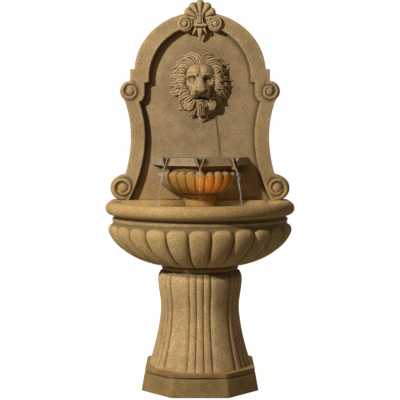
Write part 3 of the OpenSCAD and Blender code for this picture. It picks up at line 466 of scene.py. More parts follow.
def finishGroup():
    # small marks for the plain plastic, rubber and metal parts
    t, given, here = newGroup("handledSurface", {
        "Color": rgb(0.5, 0.5, 0.5), "Shade": 0.3, "Roughness": 0.5, "Scale": 300.0,
    })
    grain = t.noise(here, given["Scale"], 3.0, 0.6)
    smear = t.ramp(t.noise(here, 40.0, 3.0, 0.6), 0.35, 0.7)
    tone = t.mix(t.math("MULTIPLY", smear, given["Shade"]), given["Color"],
                 t.tinted(given["Color"], (0.55, 0.53, 0.5)))
    uneven = t.math("MULTIPLY", t.math("SUBTRACT", grain, 0.5), 0.3)
    roughness = t.math("ADD", given["Roughness"], uneven)
    t.add("NodeGroupOutput", {"Color": tone, "Roughness": roughness, "Height": grain})
    return t.tree


looks = {}


def newMaterial(name, **constants):
    looks[name] = bpy.data.materials.new(name)
    looks[name].use_nodes = True
    t = NodeTree(looks[name].node_tree)
    t.shade(**constants)
    return t


def dress(obj, look):
    obj.data.materials.clear()
    obj.data.materials.append(looks[look])


stones = {
    # stone and its warm tone, wash and painted shade, wear, grain, relief, and the nodes that have it
    "castStone": ((0.54, 0.375, 0.18), (0.42, 0.27, 0.125), 0.75, 0.4, 0.75, 0.45,
                  "pedestal basin back_panel upper_bowl locating_dowels"),
    "basinStone": ((0.61, 0.42, 0.175), (0.49, 0.315, 0.125), 0.55, 0.4, 0.75, 0.45, ""),
    "columnStone": ((0.71, 0.485, 0.22), (0.56, 0.365, 0.165), 0.35, 0.4, 0.75, 0.45, ""),
    "plinthStone": ((0.4, 0.26, 0.1), (0.33, 0.2, 0.072), 0.6, 0.4, 0.75, 0.45, ""),
    "bowlStone": ((0.43, 0.345, 0.22), (0.43, 0.32, 0.18), 0.75, 0.4, 0.75, 0.45, ""),
    "panelStone": ((0.55, 0.378, 0.19), (0.44, 0.28, 0.137), 0.75, 0.4, 0.75, 1.0, ""),
    "carvedStone": ((0.49, 0.34, 0.16), (0.46, 0.3, 0.14), 1.0, 0.7, 0.5, 0.25,
                    "crest lion_mask"),
}
sandedStone = stoneGroup()
for look, (stone, warm, washAndShade, wear, grain, strength, wearers) in stones.items():
    newMaterial(look, Specular_IOR_Level=0.3).finish(sandedStone, {
        "Stone": rgb(*stone), "Warm": rgb(*warm), "Wash And Shade": washAndShade, "Wear": wear, "Grain": grain
    }, strength, 0.0012)
    for name in wearers.split():
        dress(nodes[name], look)

finishes = {
    # colour, metallic, roughness, shade, scale of the marks, relief, and the nodes
    "coverBoard": ((0.2, 0.155, 0.095), 0, 0.75, 0.3, 500, 0.4, "rear_cover access_hatch"),
    "zincSteel": ((0.62, 0.62, 0.6), 1, 0.38, 0.3, 300, 0.15, "lamp_bracket lamp_yoke"),
    "stainless": ((0.66, 0.66, 0.66), 1, 0.3, 0.3, 700, 0.15,
                  "cover_screws hatch_screws hatch_nuts mask_bolts bowl_bolts hose_clamps "
                  "bracket_screws swivel_nut tilt_screws"),
    "brass": ((0.6, 0.42, 0.18), 1, 0.35, 0.6, 300, 0.15, "spout_nut"),
    "agedBrass": ((0.1, 0.075, 0.035), 0.7, 0.6, 0.8, 300, 0.15, "spout_pipe"),
    "blackRubber": ((0.03, 0.03, 0.03), 0, 0.7, 0.3, 600, 0.15,
                    "spout_washer cord_grommet pump_feet chamber_gasket"),
    "hoseBlack": ((0.025, 0.025, 0.028), 0, 0.45, 0.3, 300, 0.15, "riser_hose hose_clips"),
    "pumpBlack": ((0.025, 0.026, 0.03), 0, 0.5, 0.3, 900, 0.3, "pump_motor intake_grille"),
    "pumpGrey": ((0.06, 0.065, 0.07), 0, 0.5, 0.3, 900, 0.3, "pump_chamber"),
    "impellerWhite": ((0.75, 0.75, 0.72), 0, 0.35, 0.3, 300, 0.15, "impeller"),
    "magnetGrey": ((0.1, 0.1, 0.11), 0.6, 0.5, 0.3, 300, 0.15, "rotor_magnet"),
    "ceramic": ((0.82, 0.82, 0.8), 0, 0.2, 0.3, 300, 0.15, "rotor_shaft shaft_bushes"),
    "dialGrey": ((0.42, 0.42, 0.41), 0, 0.4, 0.3, 300, 0.15, "flow_dial"),
    "lampBlack": ((0.02, 0.02, 0.022), 0, 0.42, 0.3, 800, 0.15, "lamp_housing lens_ring"),
    "reflectorMetal": ((0.85, 0.84, 0.8), 1, 0.15, 0.3, 300, 0.15, "lamp_reflector"),
}
handledSurface = finishGroup()
for look, (color, metallic, roughness, shade, scale, strength, wearers) in finishes.items():
    newMaterial(look, Metallic=metallic).finish(handledSurface, {
        "Color": rgb(*color), "Roughness": roughness, "Shade": shade, "Scale": scale
    }, strength, 0.0003)
    for name in wearers.split():
        dress(nodes[name], look)

emitter = newMaterial("emitterGlow", Base_Color=rgb(0.9, 0.8, 0.5), Roughness=0.4,
                      Emission_Strength=6.0)
dots = emitter.ramp(emitter.cells(emitter.position(), 180.0), 0.1, 0.5)
emitter.shade(Emission_Color=emitter.mix(dots, rgb(1.0, 0.62, 0.22), rgb(0.8, 0.3, 0.05)))
dress(nodes["lamp_emitter"], "emitterGlow")

lens = newMaterial("amberGlass", Base_Color=rgb(0.95, 0.45, 0.08), Roughness=0.08,
                   Transmission_Weight=0.85, IOR=1.47)
lens.shade(Normal=lens.relief(lens.noise(lens.position(), 160.0), 0.2, 0.0005))
dress(nodes["lamp_lens"], "amberGlass")

pool = newMaterial("water", Base_Color=rgb(0.95, 0.97, 0.98), Roughness=0.05,
                   Transmission_Weight=1.0, IOR=1.33)
pool.shade(Normal=pool.relief(pool.noise(pool.position(), 60.0, 3.0), 0.35, 0.002))

foam = newMaterial("froth", Roughness=0.25)
specks = foam.ramp(foam.noise(foam.position(), 250.0, 3.0), 0.3, 0.7)
foam.shade(Base_Color=foam.mix(specks, rgb(0.5, 0.5, 0.47), rgb(0.8, 0.8, 0.78)))
print("materials made")


def place(obj, look, slot=None, *replaced, body="fountain", angle=40):
    dress(obj, look)
    shadeSmooth(obj, angle)
    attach(obj, body)
    if replaced:
        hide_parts(*replaced)


# Pedestal

pedestal = {
    "plinthWidth": 378, "flatWidth": 180, "plinthHeight": 74, "columnHeight": 310,
    "footRadius": 167, "waistRadius": 128.5, "shoulderRadius": 137.5, "topRadius": 120,
    "waistZ": 260, "shoulderZ": 353, "reedDepth": 6.25, "wall": 17, "neckRadius": 126,
    "neckHeight": 18, "hollowRadius": 147, "bore": 80, "hollowTop": 100,
}
plinthTop = pedestal["plinthHeight"]
columnTop = plinthTop + pedestal["columnHeight"]


def octagonRing(inset, z, corner=5):
    half = pedestal["plinthWidth"] / 2 - inset
    flat = pedestal["flatWidth"] / 2 - inset * tan(radians(22.5))
    corners = [Vector(p) for p in (
        (flat, -half), (half, -flat), (half, flat), (flat, half),
        (-flat, half), (-half, flat), (-half, -flat), (-flat, -half)
    )]
    ring = []
    for k, here in enumerate(corners):
        before, after = corners[k - 1], corners[(k + 1) % 8]
        start = here + (before - here).normalized() * corner
        end = here + (after - here).normalized() * corner
        far = after + (here - after).normalized() * corner
        ring += roundOff(start, here, end, 3) + [end.lerp(far, s) for s in shares(14)[1:-1]]
    return [(p.x, p.y + pedestalY, z) for p in ring]


def roundRing(radius, z):
    # a circle whose points lie at the same turns as the octagon's
    return [turned(radius, degrees(atan2(x, pedestalY - y)), z)
            for x, y, _ in octagonRing(0, 0)]


plinthProfile = [(3, 0), (0, 0), (9.6, 54), (14.5, 55), (15, 60.5), (12, 61.5), (12, plinthTop),
                 (26, plinthTop)]
hollow = pedestal["hollowRadius"]
rings = [octagonRing(inset, z) for inset, z in spaced(rounded(plinthProfile, 1.6), 5)]
rings += [roundRing(r, z) for r, z in spaced([(hollow - 6, plinthTop), (hollow, 40), (hollow, 0)], 12)]
plinth = skin("plinth", rings + [rings[0]])
combine(plinth, box("cordNotch", (-15, 60, -5), (15, 215, 24)))
paintWash(plinth, full=0.9)
place(plinth, "plinthStone", "cast_stone", "pedestal")


def columnRadius(z):
    waistZ, shoulderZ = pedestal["waistZ"], pedestal["shoulderZ"]
    waist, shoulder = pedestal["waistRadius"], pedestal["shoulderRadius"]
    if z < waistZ:
        return blendOf(waist, pedestal["footRadius"], ((waistZ - z) / (waistZ - plinthTop)) ** 1.6)
    share = (z - waistZ) / (shoulderZ - waistZ)
    if share < 1:
        return blendOf(waist, shoulder, (1 - cos(pi * share)) / 2)
    return blendOf(pedestal["topRadius"], shoulder,
                   dome((z - shoulderZ) / (columnTop - shoulderZ), 2))


def reedGroove(turn):
    # groove depth at an angle in degrees from the middle of a group of three reeds
    turn = abs((turn + 30) % 60 - 30)
    if turn < 15:
        s = ((turn + 15) % 10) / 5 - 1
        return 1 - sqrt(max(0, 1 - s * s))
    return abs((turn - 30) / 15) ** 7


reedTurns = [-15 + 30 * i / 42 for i in range(42)] + [15 + 30 * i / 20 for i in range(20)]
columnTurns = [60 * group + turn for group in range(6) for turn in reedTurns]


def turnedRing(radius, z):
    return [turned(radius, turn, z) for turn in columnTurns]


rings = []
for z in [z for z in (plinthTop - 3 + 3.1 * i for i in range(101)) if z < 383] + [columnTop]:
    radius = columnRadius(max(z, plinthTop))
    depth = pedestal["reedDepth"] * min(1, (columnTop + 0.5 - z) / 6)
    rings.append([turned(radius - depth * reedGroove(turn), turn, z) for turn in columnTurns])
rings += [turnedRing(r, columnTop) for r in (pedestal["hollowTop"], pedestal["bore"])]
for z in range(370, 70, -25):
    radius = columnRadius(max(z, plinthTop)) - pedestal["wall"]
    rings.append(turnedRing(radius if z < 350 else pedestal["hollowTop"], z))
column = skin("column", rings + [rings[0]])
paintWash(column, full=1.1)
washAndShade = layer(column, "hollow")
for i, x, _, z in spots(column):
    # painted shadow of the basin, lower on the far side
    washAndShade[i].value += 2.2 * ease((z - 364 + 0.05 * x) / 12)
place(column, "columnStone", "cast_stone", "pedestal", angle=60)

bead = pedestal["neckHeight"] * 0.38
beadMiddle = pedestal["neckRadius"] - bead
neckProfile = [(pedestal["bore"], columnTop - 1), (beadMiddle, columnTop - 1)]
for a in range(-90, 91, 15):
    neckProfile.append((beadMiddle + (bead + 0.1) * cos(radians(a)),
                        columnTop + pedestal["neckHeight"] / 2 + bead * sin(radians(a))))
neckProfile += [(beadMiddle - 1, neckZ), (92, neckZ), (92, neckZ + 12),
                (pedestal["bore"], neckZ + 12), (pedestal["bore"], columnTop - 1)]
neck = skin("neckRing", [turnedRing(r, z) for r, z in spaced(neckProfile, 4)])
paintWash(neck, full=0.9)
place(neck, "plinthStone", "cast_stone", "pedestal", angle=50)
print("pedestal made")


# Basin

basin = {
    "height": 201, "rimRadius": 21.5, "rimHalfWidth": 292.5, "rimFront": 258.5, "sideY": 75,
    "footRadius": 122, "lobes": 13, "lobeSpan": 92, "lobeArch": 25, "bulge": 13, "valley": 3,
    "cove": 3, "grooveIn": 7, "lift": 6, "poolWall": 24.5, "poolBackY": 101, "poolFloorZ": 430,
    "poolFootRadius": 108, "saddleRadius": 61, "saddleHeight": 177.7, "seatRadius": 92.6,
    "seatHeight": 13.3, "well": ((-100, 119, 490), (100, 191, 610)),
}
bellyTop = 0.56 * basin["height"]
lobeTop = 0.635 * basin["height"]
lobePitch = 2 * basin["lobeSpan"] / basin["lobes"]


def halfRound(turn, halfWidth, front, back):
    # an ellipse in front, and nearly straight sides and back behind the middle
    t = radians(turn)
    if abs(turn) <= 90:
        return halfWidth * sin(t), basin["sideY"] - front * cos(t)
    return (copysign(halfWidth * abs(sin(t)) ** 0.2, turn),
            basin["sideY"] + back * abs(cos(t)) ** 0.2)


def lobeShare(turn, h):
    # 0 in the valleys and above the lobes, 1 on a lobe's ridge
    if abs(turn) > basin["lobeSpan"] or h > lobeTop:
        return 0.0
    n = turn / lobePitch
    s = 2 * (n - round(n))
    w = (lobeTop - h) / basin["lobeArch"]
    fade = (1 - w) ** 2 if w < 1 else 0
    return max(0.0, 1 - abs(s) ** 2.6 - fade) ** 0.46


def rimPoint(turn, out, h):
    rise = (bellyTop - h) / (bellyTop - basin["lift"])
    u = 1 if h >= bellyTop else dome(min(1, rise), 1.7)
    fx, fy = halfRound(turn, basin["rimHalfWidth"] + out, basin["rimFront"] + out,
                       backY - basin["sideY"])
    t = radians(turn)
    footX, footY, _ = turned(basin["footRadius"], turn, h)
    share = lobeShare(turn, h)
    swell = basin["bulge"] * share
    ahead = basin["lobeSpan"] - abs(turn)
    if ahead > 0:
        swell -= basin["valley"] * (1 - share) * ease((lobeTop - h) / 22) * ease(ahead / 6)
        swell -= basin["cove"] * sin(pi * ease((h - lobeTop + 10) / 29))
    reach = swell * (0.35 + 0.65 * u)
    x = blendOf(footX, fx, u) + sin(t) * reach
    y = blendOf(footY, fy, u) - cos(t) * reach
    sink = max(0, swell) * 0.5 * sqrt(max(0, 1 - u * u))
    return x, min(y, backY), neckZ + max(h - sink, h * 0.4)


def edgePoint(turn, inset, z):
    # a point inset from the pool's wall towards the rim
    out = inset - basin["poolWall"]
    x, y = halfRound(turn, basin["rimHalfWidth"] + out, basin["rimFront"] + out,
                     basin["poolBackY"] - basin["sideY"] + inset)
    return x, y, z


def poolPoint(turn, share, z):
    x, y, _ = edgePoint(turn, 0, z)
    footX, footY, _ = turned(basin["poolFootRadius"], turn, z)
    return blendOf(footX, x, share), min(blendOf(footY, y, share), basin["poolBackY"]), z


perLobe = 24
rimTurns = [(i / perLobe - basin["lobes"] / 2) * lobePitch
            for i in range(basin["lobes"] * perLobe + 1)]
rimTurns += [92.5 + 1.5 * i for i in range(117)]
rimTurns = [turn if turn <= 180 else turn - 360 for turn in rimTurns if turn < 267]


def around(point, *where):
    return [point(turn, *where) for turn in rimTurns]


def floorPoint(turn, radius):
    return turned(radius, turn, neckZ)


high, roll = basin["height"], basin["rimRadius"]
rings = [around(floorPoint, r) for r in (0, 60, 95, 118)]
rings += [around(rimPoint, 0, s ** 1.25 * 0.72 * high) for s in shares(60)]
rings += [around(rimPoint, -basin["grooveIn"] * groove, h * high)
          for groove, h in ((0.5, 0.727), (0.9, 0.735), (1, 0.745), (1, 0.77))]
rings += [around(rimPoint, roll * cos(radians(a)), high - roll + roll * sin(radians(a)))
          for a in range(-62, 91, 8)]
rings.append(around(rimPoint, 0, high))
for inset in (18, 13, 9, 6, 3.5, 1.5, 0.4, 0):
    ring = []
    for turn in rimTurns:
        soft = 13 if abs(turn) < 96 else 5
        drop = soft - sqrt(soft ** 2 - (soft - min(inset, soft)) ** 2)
        ring.append(edgePoint(turn, inset, deckZ - drop))
    rings.append(ring)
rings += [around(poolPoint, 1, z) for z in (585, 570, 555, 540, 525, 514.6)]
floorZ = basin["poolFloorZ"]
rings += [around(poolPoint, dome(1 - v, 1.7), floorZ + v * (neckZ + bellyTop - floorZ))
          for v in (0.85, 0.7, 0.55, 0.4, 0.28, 0.18, 0.1, 0.05, 0.02, 0)]
rings.append([(0, pedestalY, floorZ)])
bowl = skin("basinCasting", rings)
combine(bowl, rod("saddle", (0, panelY, 425), basin["saddleRadius"], basin["saddleHeight"], 96),
        "UNION")
combine(bowl, box("well", *basin["well"]))
for side in (-1, 1):
    combine(bowl, box("slot", (side * 78 - 14, 99, 490), (side * 78 + 14, 121, 526)))
    near, far = sorted((side * 112, side * 222.5))
    combine(bowl, box("core", (near, 113, 478), (far, 210, 570)))
combine(bowl, rod("spigotSeat", (0, pedestalY, neckZ - 1), basin["seatRadius"],
                  basin["seatHeight"], 96))
paintWash(bowl, reach=(3, 12, 40), full=1.6)
stainAndGlow = layer(bowl, "stainAndGlow")
# painted glow of the lamp on the top of the saddle and on the pool's back wall, over a warmer tone on
# the upper part
for i, x, y, z in spots(bowl):
    above = ease((z - 575) / 5)
    atSaddle = ease((66 - hypot(x, y - panelY)) / 3) * above
    atBack = 0.75 * ease((y - 80) / 15) * ease((190 - abs(x)) / 90) * above
    stainAndGlow[i].value = max(0.25 * ease((z - 548) / 16), atSaddle, atBack)
place(bowl, "basinStone", "cast_stone", "basin", angle=50)
print("basin made")


# Back panel

archZ, blockTopZ, blockFootZ = 1031, 1042, 1002
scroll = {"x": 233, "z": 968, "radius": 34}
volute = {"x": 259, "z": 645, "radius": 42}
panel = {"archHalf": 219, "blockHalf": 233, "waist": 231.5, "bendZ": 820, "lowerBend": 431,
         "upperBend": 340, "frameWidth": 47, "height": 627}
topZ = deckZ + panel["height"]


def waistX(z):
    bend = panel["lowerBend"] if z < panel["bendZ"] else panel["upperBend"]
    return panel["waist"] + (z - panel["bendZ"]) ** 2 / 2 / bend


def arcPoints(middle, size, start, end, count):
    turns = [radians(blendOf(start, end, s)) for s in shares(count)]
    return [(middle[0] + size[0] * cos(a), middle[1] + size[1] * sin(a)) for a in turns]


def discArc(disc, start, end, count):
    return arcPoints((disc["x"], disc["z"]), (disc["radius"],) * 2, start, end, count)


def outerEdge():
    low, high = volute["z"] + volute["radius"] + 4, scroll["z"] - scroll["radius"] * 0.75
    edge = discArc(volute, -90, 85, 40)
    edge += [(waistX(z), z) for z in (blendOf(low, high, s) for s in shares(40))]
    edge += discArc(scroll, -38, 88, 30)
    edge += [(panel["blockHalf"], blockFootZ), (panel["blockHalf"], blockTopZ)]
    return edge + arcPoints((0, archZ), (panel["archHalf"], topZ - archZ), 3, 90, 90)


def innerEdge(lowZ):
    notchZ = scroll["z"] - scroll["radius"]
    width = panel["frameWidth"]
    stepX = panel["blockHalf"] - width - 1
    edge = [(waistX(z) - width, z) for z in (blendOf(lowZ, notchZ, s) for s in shares(60))]
    reach = waistX(notchZ) - width - stepX
    for i in range(1, 15):
        a = radians(90 * i / 14)
        edge.append((stepX + reach * (1 - sin(a)), notchZ + scroll["radius"] * (1 - cos(a))))
    edge.append((stepX, blockFootZ - 6))
    return edge + arcPoints((0, archZ - 22), (panel["archHalf"] - width - 1,
                                              topZ - width + 3 - archZ + 22), -3, 90, 90)


def bothHalves(half):
    whole = half + [(-x, z) for x, z in reversed(half)]
    return [p for k, p in enumerate(whole) if dist(p, whole[k - 1]) > 0.3]


def spiralLine(x, z, radius, turns, start, y, side, outer=0.84, inner=0.42):
    line = []
    for s in shares(43):
        a = radians(start + 360 * turns * s)
        q = radius * blendOf(outer, inner, s)
        thick = radius * blendOf(0.17, 0.1, s) * (0.5 + min(1, s * 8) / 2)
        line.append((x + side * q * cos(a), y, z + q * sin(a), thick))
    return line


pick(nodes["back_panel"])
bpy.ops.object.duplicate()
casting = named("panelCasting")
for key in list(casting.keys()):
    del casting[key]
casting.parent = None
closeSeams(casting)
cutFlat(casting, (0, panelY + 2, 0), (0, -1, 0))
place(casting, "panelStone", "cast_stone", "back_panel", angle=5)
moulding = slab("frameMoulding", bothHalves(outerEdge()), frameY, panelY + 12)
combine(moulding, slab("recess", bothHalves(innerEdge(deckZ - 10)), frameY - 5, panelY - 0.1))
ridges, eyes = [], []
for side in (-1, 1):
    for disc, turns, start, eye in ((scroll, -1.15, 110, (13, 9, 13)),
                                    (volute, 1.2, -100, (16, 10, 16))):
        x, z = side * disc["x"], disc["z"]
        ridges.append(spiralLine(x, z, disc["radius"], turns, start, frameY - 1, side))
        eyes.append(ball("eye", (x, frameY + 1, z), eye))
moulding = joined("frameMoulding", [moulding, sweep("spirals", ridges)] + eyes)
recast(moulding, 2.2, 3)
cutFlat(moulding, (0, panelY + 2, 0), (0, 1, 0))
cutFlat(moulding, (0, 0, deckZ + 0.2), (0, 0, -1))
paintWash(moulding, reach=(4, 14, 40), full=1.3)
stainAndGlow, washAndShade = layer(moulding, "stainAndGlow"), layer(moulding, "hollow")
for i, x, y, z in spots(moulding):
    stainAndGlow[i].value = 0.35 * ease((705 - z) / 50)
    if y > panelY - 3:
        # painted shade on the panel round the lion
        washAndShade[i].value += 0.3 * ease((1.42 - hypot(x / 105, (z - maskZ) / 118)) / 0.4)
place(moulding, "castStone", "cast_stone", "back_panel", angle=50)
moulding.data.materials.append(looks["panelStone"])
for face in moulding.data.polygons:
    face.material_index = int(face.center.y > (panelY - 3) * mm)
print("panel made")


# Crest

crest = {"z": 1208, "scrollX": 50, "scrollZ": 1191, "scrollRadius": 25, "out": 8}
petals = ((0, 62, 0.98), (30, 60, 0.98), (-30, 60, 0.98), (60, 58, 0.98), (-60, 58, 0.98),
          (86, 44, 0.62), (-86, 44, 0.62))  # angle, reach and size of each


def petalRings(angle, reach, size):
    # a lobe that widens and swells towards a rounded tip
    rings = []
    a = radians(angle)
    for s in shares(24):
        along = blendOf(8, reach, s)
        half = (4 + 11 * s ** 0.85) * size * (dome((s - 0.76) / 0.24, 2.4) if s > 0.76 else 1)
        lift = (4 + 11 * sin(pi * min(1, s * 0.6) ** 0.9)) * size
        lift *= dome((s - 0.78) / 0.22, 2) if s > 0.78 else 1
        ring = []
        for i in range(28):
            b = 2 * pi * i / 28
            across, out = max(half, 0.3) * cos(b), sin(b)
            y = frameY - out * (max(lift, 0.3) if out > 0 else half)
            ring.append((along * sin(a) + across * cos(a), y,
                         crest["z"] + along * cos(a) - across * sin(a)))
        rings.append(ring)
    return capped(rings)


def leafLine(x, length, lean, down=24):
    a = radians(lean)
    return [(x + length * s * sin(a), frameY + 2 - 4 * sin(pi * s) + 18 * s * s,
             crest["z"] - down - length * s * cos(a),
             (1.5 + length * 0.1) * (0.75 + 0.5 * s) * dome(s, 1.6) + 0.4)
            for s in shares(9)]


parts = [skin("petal", petalRings(*petal)) for petal in petals]
hub = [(-14, -20), (14, -20), (12, -13), (8.5, -2), (13, 15), (-13, 15), (-8.5, -2), (-12, -13)]
parts.append(slab("hub", [(x, crest["z"] + z) for x, z in hub], frameY - 14, frameY + 20))
band = [(blendOf(-21, 21, s), frameY - 12, crest["z"] - 22.5, 5) for s in shares(5)]
lines = [band, [(x, y + 5, z - 1, r) for x, y, z, r in band],
         [(x, y + 12, z, r + 1) for x, y, z, r in band], leafLine(-3.4, 50, 3.5),
         leafLine(3.4, 50, -3.5),
         [(x, frameY - 15, z, 3) for x, z in ((-13, 1222), (-5, 1223), (5, 1223), (13, 1222))],
         [(0, frameY - 14, crest["z"] + z, 3) for z in (-14, -6, 3, 12)]]
discY = frameY - crest["out"]
for side in (-1, 1):
    discX, discZ, discRadius = side * crest["scrollX"], crest["scrollZ"], crest["scrollRadius"]
    lines.append(leafLine(side * 10, 33, side * 28, 25))
    lines.append(spiralLine(discX, discZ, discRadius, 1.6, 60, discY - 2, -side, 0.86, 0.35))
    parts.append(rod("disc", (discX, discY + 36, discZ), discRadius, 36, tilt=90))
    parts.append(ball("eye", (discX, discY, discZ), (9.5, 9, 9.5)))
crown = joined("crestCarving", parts + [sweep("crestLines", lines)])
recast(crown, 1.5, 2)
paintWash(crown, reach=(3, 10, 26), full=1.1)
place(crown, "carvedStone", "carved_stone", "crest", angle=60)
print("crest made")


# Upper bowl

upperBowl = {
    "radius": 162, "topZ": 748, "bandZ": 722, "bellyZ": 705, "bellyRadius": 145.7,
    "footRadius": 59, "footHeight": 31.3, "footZ": 627, "ribs": 9, "ribSpan": 56.25,
    "ribBulge": 7, "neckIn": 15, "wall": 12, "floorZ": 641, "hollowDepth": 65, "rimWidth": 18,
    "notchWidth": 24, "notchDepth": 32, "lipWidth": 4, "lipOut": 4, "weirZ": 738, "weirIn": 13,
    "spouts": (-45, 0, 45),
}
ribTurn = 2 * upperBowl["ribSpan"] / upperBowl["ribs"]


def ribShare(turn, z):
    if abs(turn) > upperBowl["ribSpan"] + 0.05:
        return 0.0
    n = turn / ribTurn
    s = 2 * (n - round(n))
    w = (upperBowl["bellyZ"] - z) / 14
    fade = (1 - max(0, w)) ** 2 if w < 1 else 0
    return sqrt(max(0.0, 1 - s * s - fade))


def bellyShape(z):
    high, low = upperBowl["bellyZ"], upperBowl["footZ"]
    return blendOf(upperBowl["footRadius"] - 4, upperBowl["bellyRadius"],
                   dome(max(0, high - z) / (high - low), 2.2))


def bellyRadius(z):
    # the belly draws in to a neck behind the tops of the ribs
    return bellyShape(z) - upperBowl["neckIn"] * ease((z - upperBowl["bellyZ"] + 15) / 14)


def bowlRing(z, inset=0):
    base = bellyRadius(z) - inset
    ribOut = 0 if inset else bellyShape(z) + upperBowl["ribBulge"] - base
    ring = [turned(base + ribOut * ribShare(turn, z), turn, z, panelY) for turn in range(-90, 91)]
    return ring + [(base * (1 - i / 10), panelY + 5, z) for i in range(21)]


def bandOutline(radius, back=panelY + 5):
    # half of an octagon standing on the panel
    corners = [turned(radius, turn, 0, panelY)[:2] for turn in (-90, -45, 0, 45, 90)]
    backHalf = radius - max(0, panelY - back) * 0.41
    return [(x, y) for x, y in corners if y < back - 1] + [(backHalf, back), (-backHalf, back)]


def swung(tool, turn):
    # turns a tool made at the panel's middle round to a spout
    tool.rotation_euler = (0, 0, radians(turn))
    tool.location = (0, panelY * mm, 0)
    return settle(tool)


def notchTool(name, turn, grow, near, far):
    drop = upperBowl["notchDepth"] + grow * 2
    half = upperBowl["notchWidth"] / 2 + grow
    top = upperBowl["topZ"]
    return swung(slab(name, [(-half, top + 1), (0, top - drop), (half, top + 1)], -far, -near),
                 turn)


edge, inner, wallIn = upperBowl["radius"], upperBowl["radius"] - upperBowl["rimWidth"], panelY - 14
step = (upperBowl["bellyZ"] - upperBowl["footZ"]) / 26
bellyLevels = [upperBowl["footZ"] + step * i for i in range(27)] + [709, 717, 725]
belly = skin("belly", capped([bowlRing(z) for z in bellyLevels]))
bandPiece = upright("band", bandOutline(edge), upperBowl["bandZ"], upperBowl["topZ"] + 3)
foot = rod("foot", (0, panelY, deckZ - 3), upperBowl["footRadius"], upperBowl["footHeight"], 90)
lips = [notchTool("lip", turn, upperBowl["lipWidth"], inner, edge + upperBowl["lipOut"])
        for turn in upperBowl["spouts"]]
hollow = skin("hollow", capped([
    bowlRing(upperBowl["floorZ"] + upperBowl["hollowDepth"] * s, upperBowl["wall"])
    for s in (0, 0.05, 0.12, 0.22, 0.35, 0.5, 0.7, 0.85, 0.95, 1)
]))
combine(hollow, box("backWall", (-200, wallIn, 500), (200, panelY + 50, 800)))
combine(belly, hollow)
throatRadius = upperBowl["bellyRadius"] - upperBowl["neckIn"] - 11
throat = upright("throat", bandOutline(throatRadius, wallIn), 700, 730)
combine(belly, throat, keep=True)
combine(bandPiece, throat)
combine(bandPiece, upright("inside", bandOutline(inner, wallIn), 727, upperBowl["topZ"] + 10))
for turn in upperBowl["spouts"]:
    # each spout keeps a low weir at its back
    pour = notchTool("pour", turn, 0, edge - upperBowl["weirIn"], edge + 30)
    for part in [bandPiece] + lips:
        combine(part, pour, keep=True)
    bpy.data.objects.remove(pour)
    combine(bandPiece, swung(box("over", (-8, 90, upperBowl["weirZ"]), (8, 155, 760)), 180 + turn))
smallBowl = joined("smallBowl", [belly, bandPiece, foot] + lips)
recast(smallBowl, 1.7, 2)
cutFlat(smallBowl, (0, panelY - 0.2, 0), (0, 1, 0))
cutFlat(smallBowl, (0, 0, deckZ + 0.1), (0, 0, -1))
cutFlat(smallBowl, (0, 0, upperBowl["topZ"]), (0, 0, 1))
paintWash(smallBowl)
paintedShade, stainAndGlow = layer(smallBowl, "hollow"), layer(smallBowl, "stainAndGlow")
spoutFoot = upperBowl["topZ"] - upperBowl["notchDepth"]
for i, x, y, z in spots(smallBowl):
    y = panelY - y
    reach, turn = hypot(x, y), abs(degrees(atan2(x, y)))
    sides = ease((59 - turn) / 6) if z > 629 else ease((100 - turn) / 50)
    # painted glow of the lamp on the belly below the band
    paintedGlow = ease((upperBowl["bandZ"] - 1 - z) / 4) * sides
    # painted shade on the shoulder under the band and inside the bowl
    if z > 697 and reach < bellyRadius(z) + 4:
        paintedShade[i].value = max(paintedShade[i].value, 0.55)
    else:
        # the rib tops take little of the painted glow
        paintedGlow *= 1 - 0.8 * bump(z, 0, 701, 1, 5, 9)
    stainAndGlow[i].value = paintedGlow
    # painted shade inside each spout
    half = (z - spoutFoot) * upperBowl["notchWidth"] / 2 / upperBowl["notchDepth"]
    for a in map(radians, upperBowl["spouts"]):
        across, out = x * cos(a) - y * sin(a), x * sin(a) + y * cos(a)
        if abs(across) < half + 0.8 and 100 < out < edge - 3 and z < 745:
            paintedShade[i].value = 1.4
place(smallBowl, "bowlStone", "cast_stone", "upper_bowl", angle=50)
print("upper bowl made")


# Lion mask: the face is a height field over the mask's outline, and the mane is bundles of strands

lion = {
    "halfWidth": 100, "halfHeight": 116, "faceHalfWidth": 49, "muzzleHalfWidth": 37,
    "faceMiddle": 15, "foreheadHeight": 60, "jawDepth": 70, "browOut": 52, "noseOut": 81,
    "muzzleOut": 69, "muzzleTurn": 5, "headShare": 0.88, "strand": 3.3, "strandsPerLock": 2,
    "voxel": 1.27,
}


def maneReach(a):
    n = 2 if cos(a) > 0 else 1.35
    s = (abs(sin(a)) / lion["halfWidth"]) ** n + (abs(cos(a)) / lion["halfHeight"]) ** n
    return s ** (-1 / n)


def faceShare(x, z):
    # 1 on the line where the face meets the mane
    wide = blendOf(lion["faceHalfWidth"], lion["muzzleHalfWidth"], ease((4 - z) / 24))
    rise = z - lion["faceMiddle"]
    high = lion["foreheadHeight"] if rise > 0 else lion["jawDepth"]
    return (abs(x / wide) ** 3 + abs(rise / high) ** 3) ** (1 / 3)


